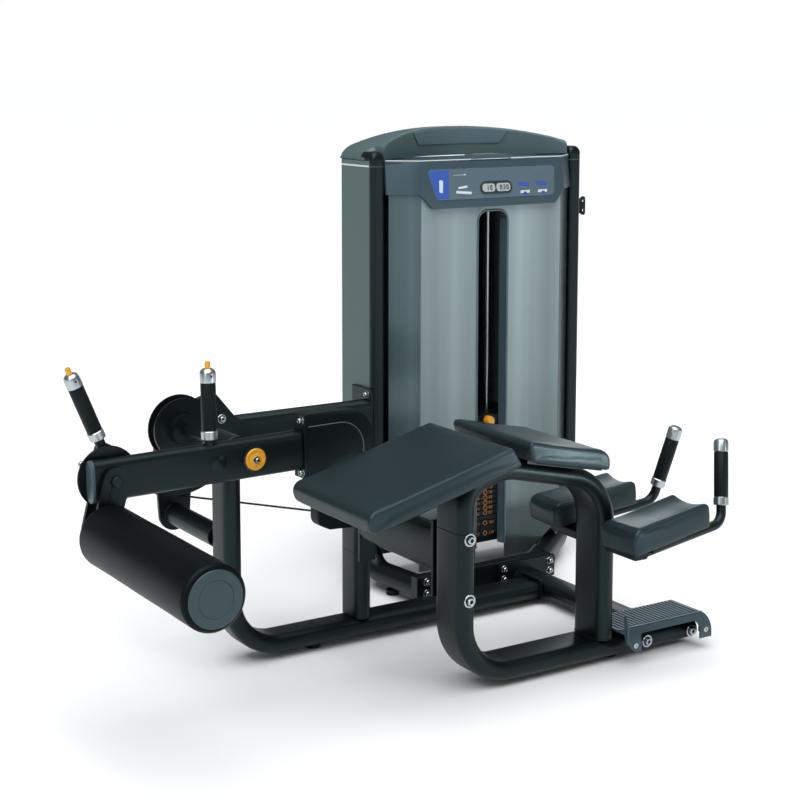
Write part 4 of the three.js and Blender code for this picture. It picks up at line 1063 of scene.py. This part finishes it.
def bench_pads():
    """The two bench pads, each a stuffed slab on a thin black board."""
    thigh = rounded([(-26, -2, 26), (407, -2, 9), (421, BOARD - 60, 4), (-20, BOARD - 60, 20)])
    chest = rounded([(-5, -2, 12), (270, -2, 30), (271, BOARD - 54, 4), (27, BOARD - 54, 4)])
    kinds = (
        ("thigh", thigh, 184, -60, Matrix.Translation((45, 0, 553.5)), THIGH_TILT, (6, 408)),
        ("chest", chest, 170, -54, Matrix.Translation((492, 0, 660.5)), CHEST_TILT, (46, 252)),
    )
    for name, outline, half, low, origin, tilt, reach in kinds:
        place = origin @ Matrix.Rotation(math.radians(tilt), 4, "Y")
        slab = edged(outline, half - 1.5, 7)
        pad = make_pad(f"{name}_pad", slab, place, low + BOARD)
        board = block(*reach, 12 - half, half - 12, low + 0.3, low + BOARD + 3)
        add(f"{name}_pad_board", board, RUBBER, place=place, bevel=2, slot="leatherette")
        # Seams near each side edge; their lighter thread is also a painted edge highlight.
        for side in (-1, 1):
            line = inset_outline(outline, 4)
            seam(f"{name}_seam_{side + 1}", pad, [place @ Vector((x, side * half, z)) for x, z in line], 0.6)


def edged(outline, half, radius, steps=5):
    """An outline as a thick slab whose side edges roll over by a radius."""
    sections = []
    middle = inset_outline(outline, radius)
    for side in (-1, 1):
        for k in range(steps + 1):
            a = math.pi / 2 * (k if side < 0 else steps - k) / steps
            pull = 1 - math.sin(a)
            ring = [Vector(o).lerp(Vector(m), pull) for o, m in zip(outline, middle)]
            y = side * (half - radius + radius * math.cos(a))
            sections.append([(p.x, y, p.y) for p in ring])
    return loft(sections)


def forearm_pads():
    """Dished armrests: level sides, a hollow top, a nose that slopes down towards the user."""
    length, width, thick = 268, 129, 69
    for side, tag in ((-1, "right"), (1, "left")):
        sections = []
        for i in range(33):
            x = 1 + length * i / 32
            nose = max(0.0, 1 - (x - 1) / 26)
            fall = 1 - math.sqrt(max(0.0, 1 - nose * nose))
            tail = max(0.0, 1 - (length + 1 - x) / 6)
            end = 1 - math.sqrt(max(0.0, 1 - tail * tail))
            ring = []
            steps = 24
            for k in range(steps + 1):
                v = -1 + 2 * k / steps
                edge = max(0.0, (abs(v) - 0.88) / 0.12)
                dish = 11 * max(0.0, 1 - (v / 0.9) ** 2) * min(1.0, (x - 1) / 120)
                top = thick - dish - 7 * (1 - math.sqrt(max(0.0, 1 - edge * edge)))
                top -= fall * 20 + end * 5
                ring.append((x, v * width / 2, top))
            inset = 3 * max(fall, end)
            ring += [(x, width / 2 - inset, BOARD), (x, inset - width / 2, BOARD)]
            sections.append(ring)
        place = forearm_place(side)
        node = f"forearm_pad_{tag}"
        pad = make_pad(node, loft(sections), place, BOARD, cap=0.002, voxel=0.0042)
        board = block(14, length - 12, 12 - width / 2, width / 2 - 12, 0.3, BOARD + 3)
        add(f"{node}_board", board, RUBBER, place=place, bevel=2, slot="leatherette")
        # Seams along the armrest's sides; their lighter thread is also a painted edge highlight.
        for face in (-1, 1):
            outline = rounded([(5, BOARD + 4, 4), (length - 4, BOARD + 4, 4), (length - 4, thick - 4, 8),
                               (26, thick - 5, 20), (5, 44, 12)])
            seam(f"{node}_seam_{face + 1}", pad, [place @ Vector((x, face * 70, z)) for x, z in outline], 0.6)


FOREARM = {"x": 788, "y": 157, "z": 334, "yaw": 3.8, "pitch": 7.6}


def forearm_place(side):
    turn = Matrix.Rotation(math.radians(-side * FOREARM["yaw"]), 4, "Z")
    rise = Matrix.Rotation(math.radians(-FOREARM["pitch"]), 4, "Y")
    return Matrix.Translation((FOREARM["x"], side * FOREARM["y"], FOREARM["z"])) @ turn @ rise


def forearm_arms():
    """The two bent tubes with a handle each, and the plates under the armrests."""
    axis = Vector((30, -38, 166)).normalized()
    foot = Vector((1164, 127, 398))
    for side, tag in ((-1, "right"), (1, "left")):
        path = mirror_y([foot - axis * 0.3, foot - axis * 46, Vector((874.6, FOREARM["y"], 322))], side)
        show(f"forearm_arm_{tag}", tube(circle(13, 28), path, 40), COAT)
        plate = block(94, 215, -26, 26, -26, -0.5)
        painted(f"forearm_plate_{tag}", plate, place=forearm_place(side), bevel=2)
        lean = Vector((axis.x, axis.y * side, axis.z))
        spin = Vector((0, 0, 1)).rotation_difference(lean).to_matrix().to_4x4()
        top = HANDLE_TOP
        end = [(0, 142), (18.5, 142), (20, 143.5), (20, top - 10), (18.2, top - 4), (13, top), (0, top + 0.4)]
        place = Matrix.Translation(mirror_y([foot], side)[0]) @ spin
        grip(f"forearm_sleeve_{tag}", f"forearm_grip_{tag}", place, end, 9.4)


# ---- studio ----------------------------------------------------------------------------------
def stand(name, data, place=(0, 0, 0), turn=(0, 0, 0), target=None):
    """Puts a camera or a lamp in the scene, turned by degrees or aimed at a target."""
    obj = bpy.data.objects.new(name, data)
    obj.location = place
    obj.rotation_euler = [math.radians(a) for a in turn]
    if target:
        obj.rotation_euler = (Vector(target) - Vector(place)).to_track_quat("-Z", "Y").to_euler()
    bpy.context.scene.collection.objects.link(obj)
    return obj


def lamps():
    """Two soft suns, a narrow spot that lifts the cover's sheen, and three area lamps."""
    for name, turn, angle, power in (("dome", (16, -12, 0), 70, 3.55), ("front", (50, 0, -50), 45, 0.22)):
        lamp = bpy.data.lights.new(name, "SUN")
        lamp.angle = math.radians(angle)
        lamp.energy = power
        stand(name, lamp, turn=turn)
    lamp = bpy.data.lights.new("satin", "SPOT")
    lamp.energy = 170
    lamp.spot_size = math.radians(9.5)
    lamp.spot_blend = 0.9
    lamp.shadow_soft_size = 0.16
    stand("satin", lamp, (1.75, -2.45, 0.42), target=(0.18, -0.52, 0.64))
    for name, place, target, size, power, color in (
            ("key", (-3.4, -1.6, 2.4), (0, 0, 0.5), (0.9, 2.6), 22, (1.0, 0.99, 0.97)),
            ("rim", (2.8, 2.6, 2.2), (0, 0, 0.7), (1.2, 2.4), 20, (0.90, 0.96, 1.0)),
            ("side", (3.0, -4.6, 1.5), (0.2, -0.4, 0.6), (1.4, 0.9), 12, (0.92, 0.98, 1.0))):
        lamp = bpy.data.lights.new(name, "AREA")
        lamp.shape = "RECTANGLE"
        lamp.size, lamp.size_y = size
        lamp.energy = power
        lamp.color = color
        stand(name, lamp, place, target=target)


def studio():
    """The photo's camera, a white floor, a dim sky with a white backdrop for the camera, and the lamps."""
    data = bpy.data.cameras.new("camera")
    data.lens = 75.636
    data.sensor_width = 36
    data.shift_x = 0.0189
    data.shift_y = -0.14
    camera = stand("camera", data, (-2.4089, -3.6863, 1.5607), (90 - 7.579, 0, -32.243))
    bpy.context.scene.camera = camera
    mesh = bpy.data.meshes.new("floor")
    size = 120
    corners = [(x, y, 0) for x, y in rectangle(-size, size, -size, size)]
    mesh.from_pydata(corners, [], [(0, 1, 2, 3)])
    mesh.materials.append(surface("studio_floor", (0.86, 0.86, 0.86), 0.6, specular=0.2))
    stand("floor", mesh)
    world = bpy.data.worlds.new("studio")
    bpy.context.scene.world = world
    world.use_nodes = True
    tree = world.node_tree
    sky = tree.nodes["Background"]
    sky.inputs["Color"].default_value = (0.84, 0.95, 1.0, 1)
    sky.inputs["Strength"].default_value = 0.21
    backdrop = tree.nodes.new("ShaderNodeBackground")
    backdrop.inputs["Color"].default_value = (1, 1, 1, 1)
    seen = tree.nodes.new("ShaderNodeLightPath")
    mix = tree.nodes.new("ShaderNodeMixShader")
    tree.links.new(seen.outputs["Is Camera Ray"], mix.inputs[0])
    tree.links.new(sky.outputs[0], mix.inputs[1])
    tree.links.new(backdrop.outputs[0], mix.inputs[2])
    tree.links.new(mix.outputs[0], tree.nodes["World Output"].inputs["Surface"])
    bpy.context.scene.view_settings.view_transform = "Standard"
    lamps()


studio()
base_frame()
footplate()
tower_frame()
crown()
inset_badge()
shroud()
display_panel()
display_label()
weight_stack()
pivot_side()
lift_cable()
swing_arm()
roller_assembly()
forearm_arms()
bench_pads()
forearm_pads()
fit_bolts()
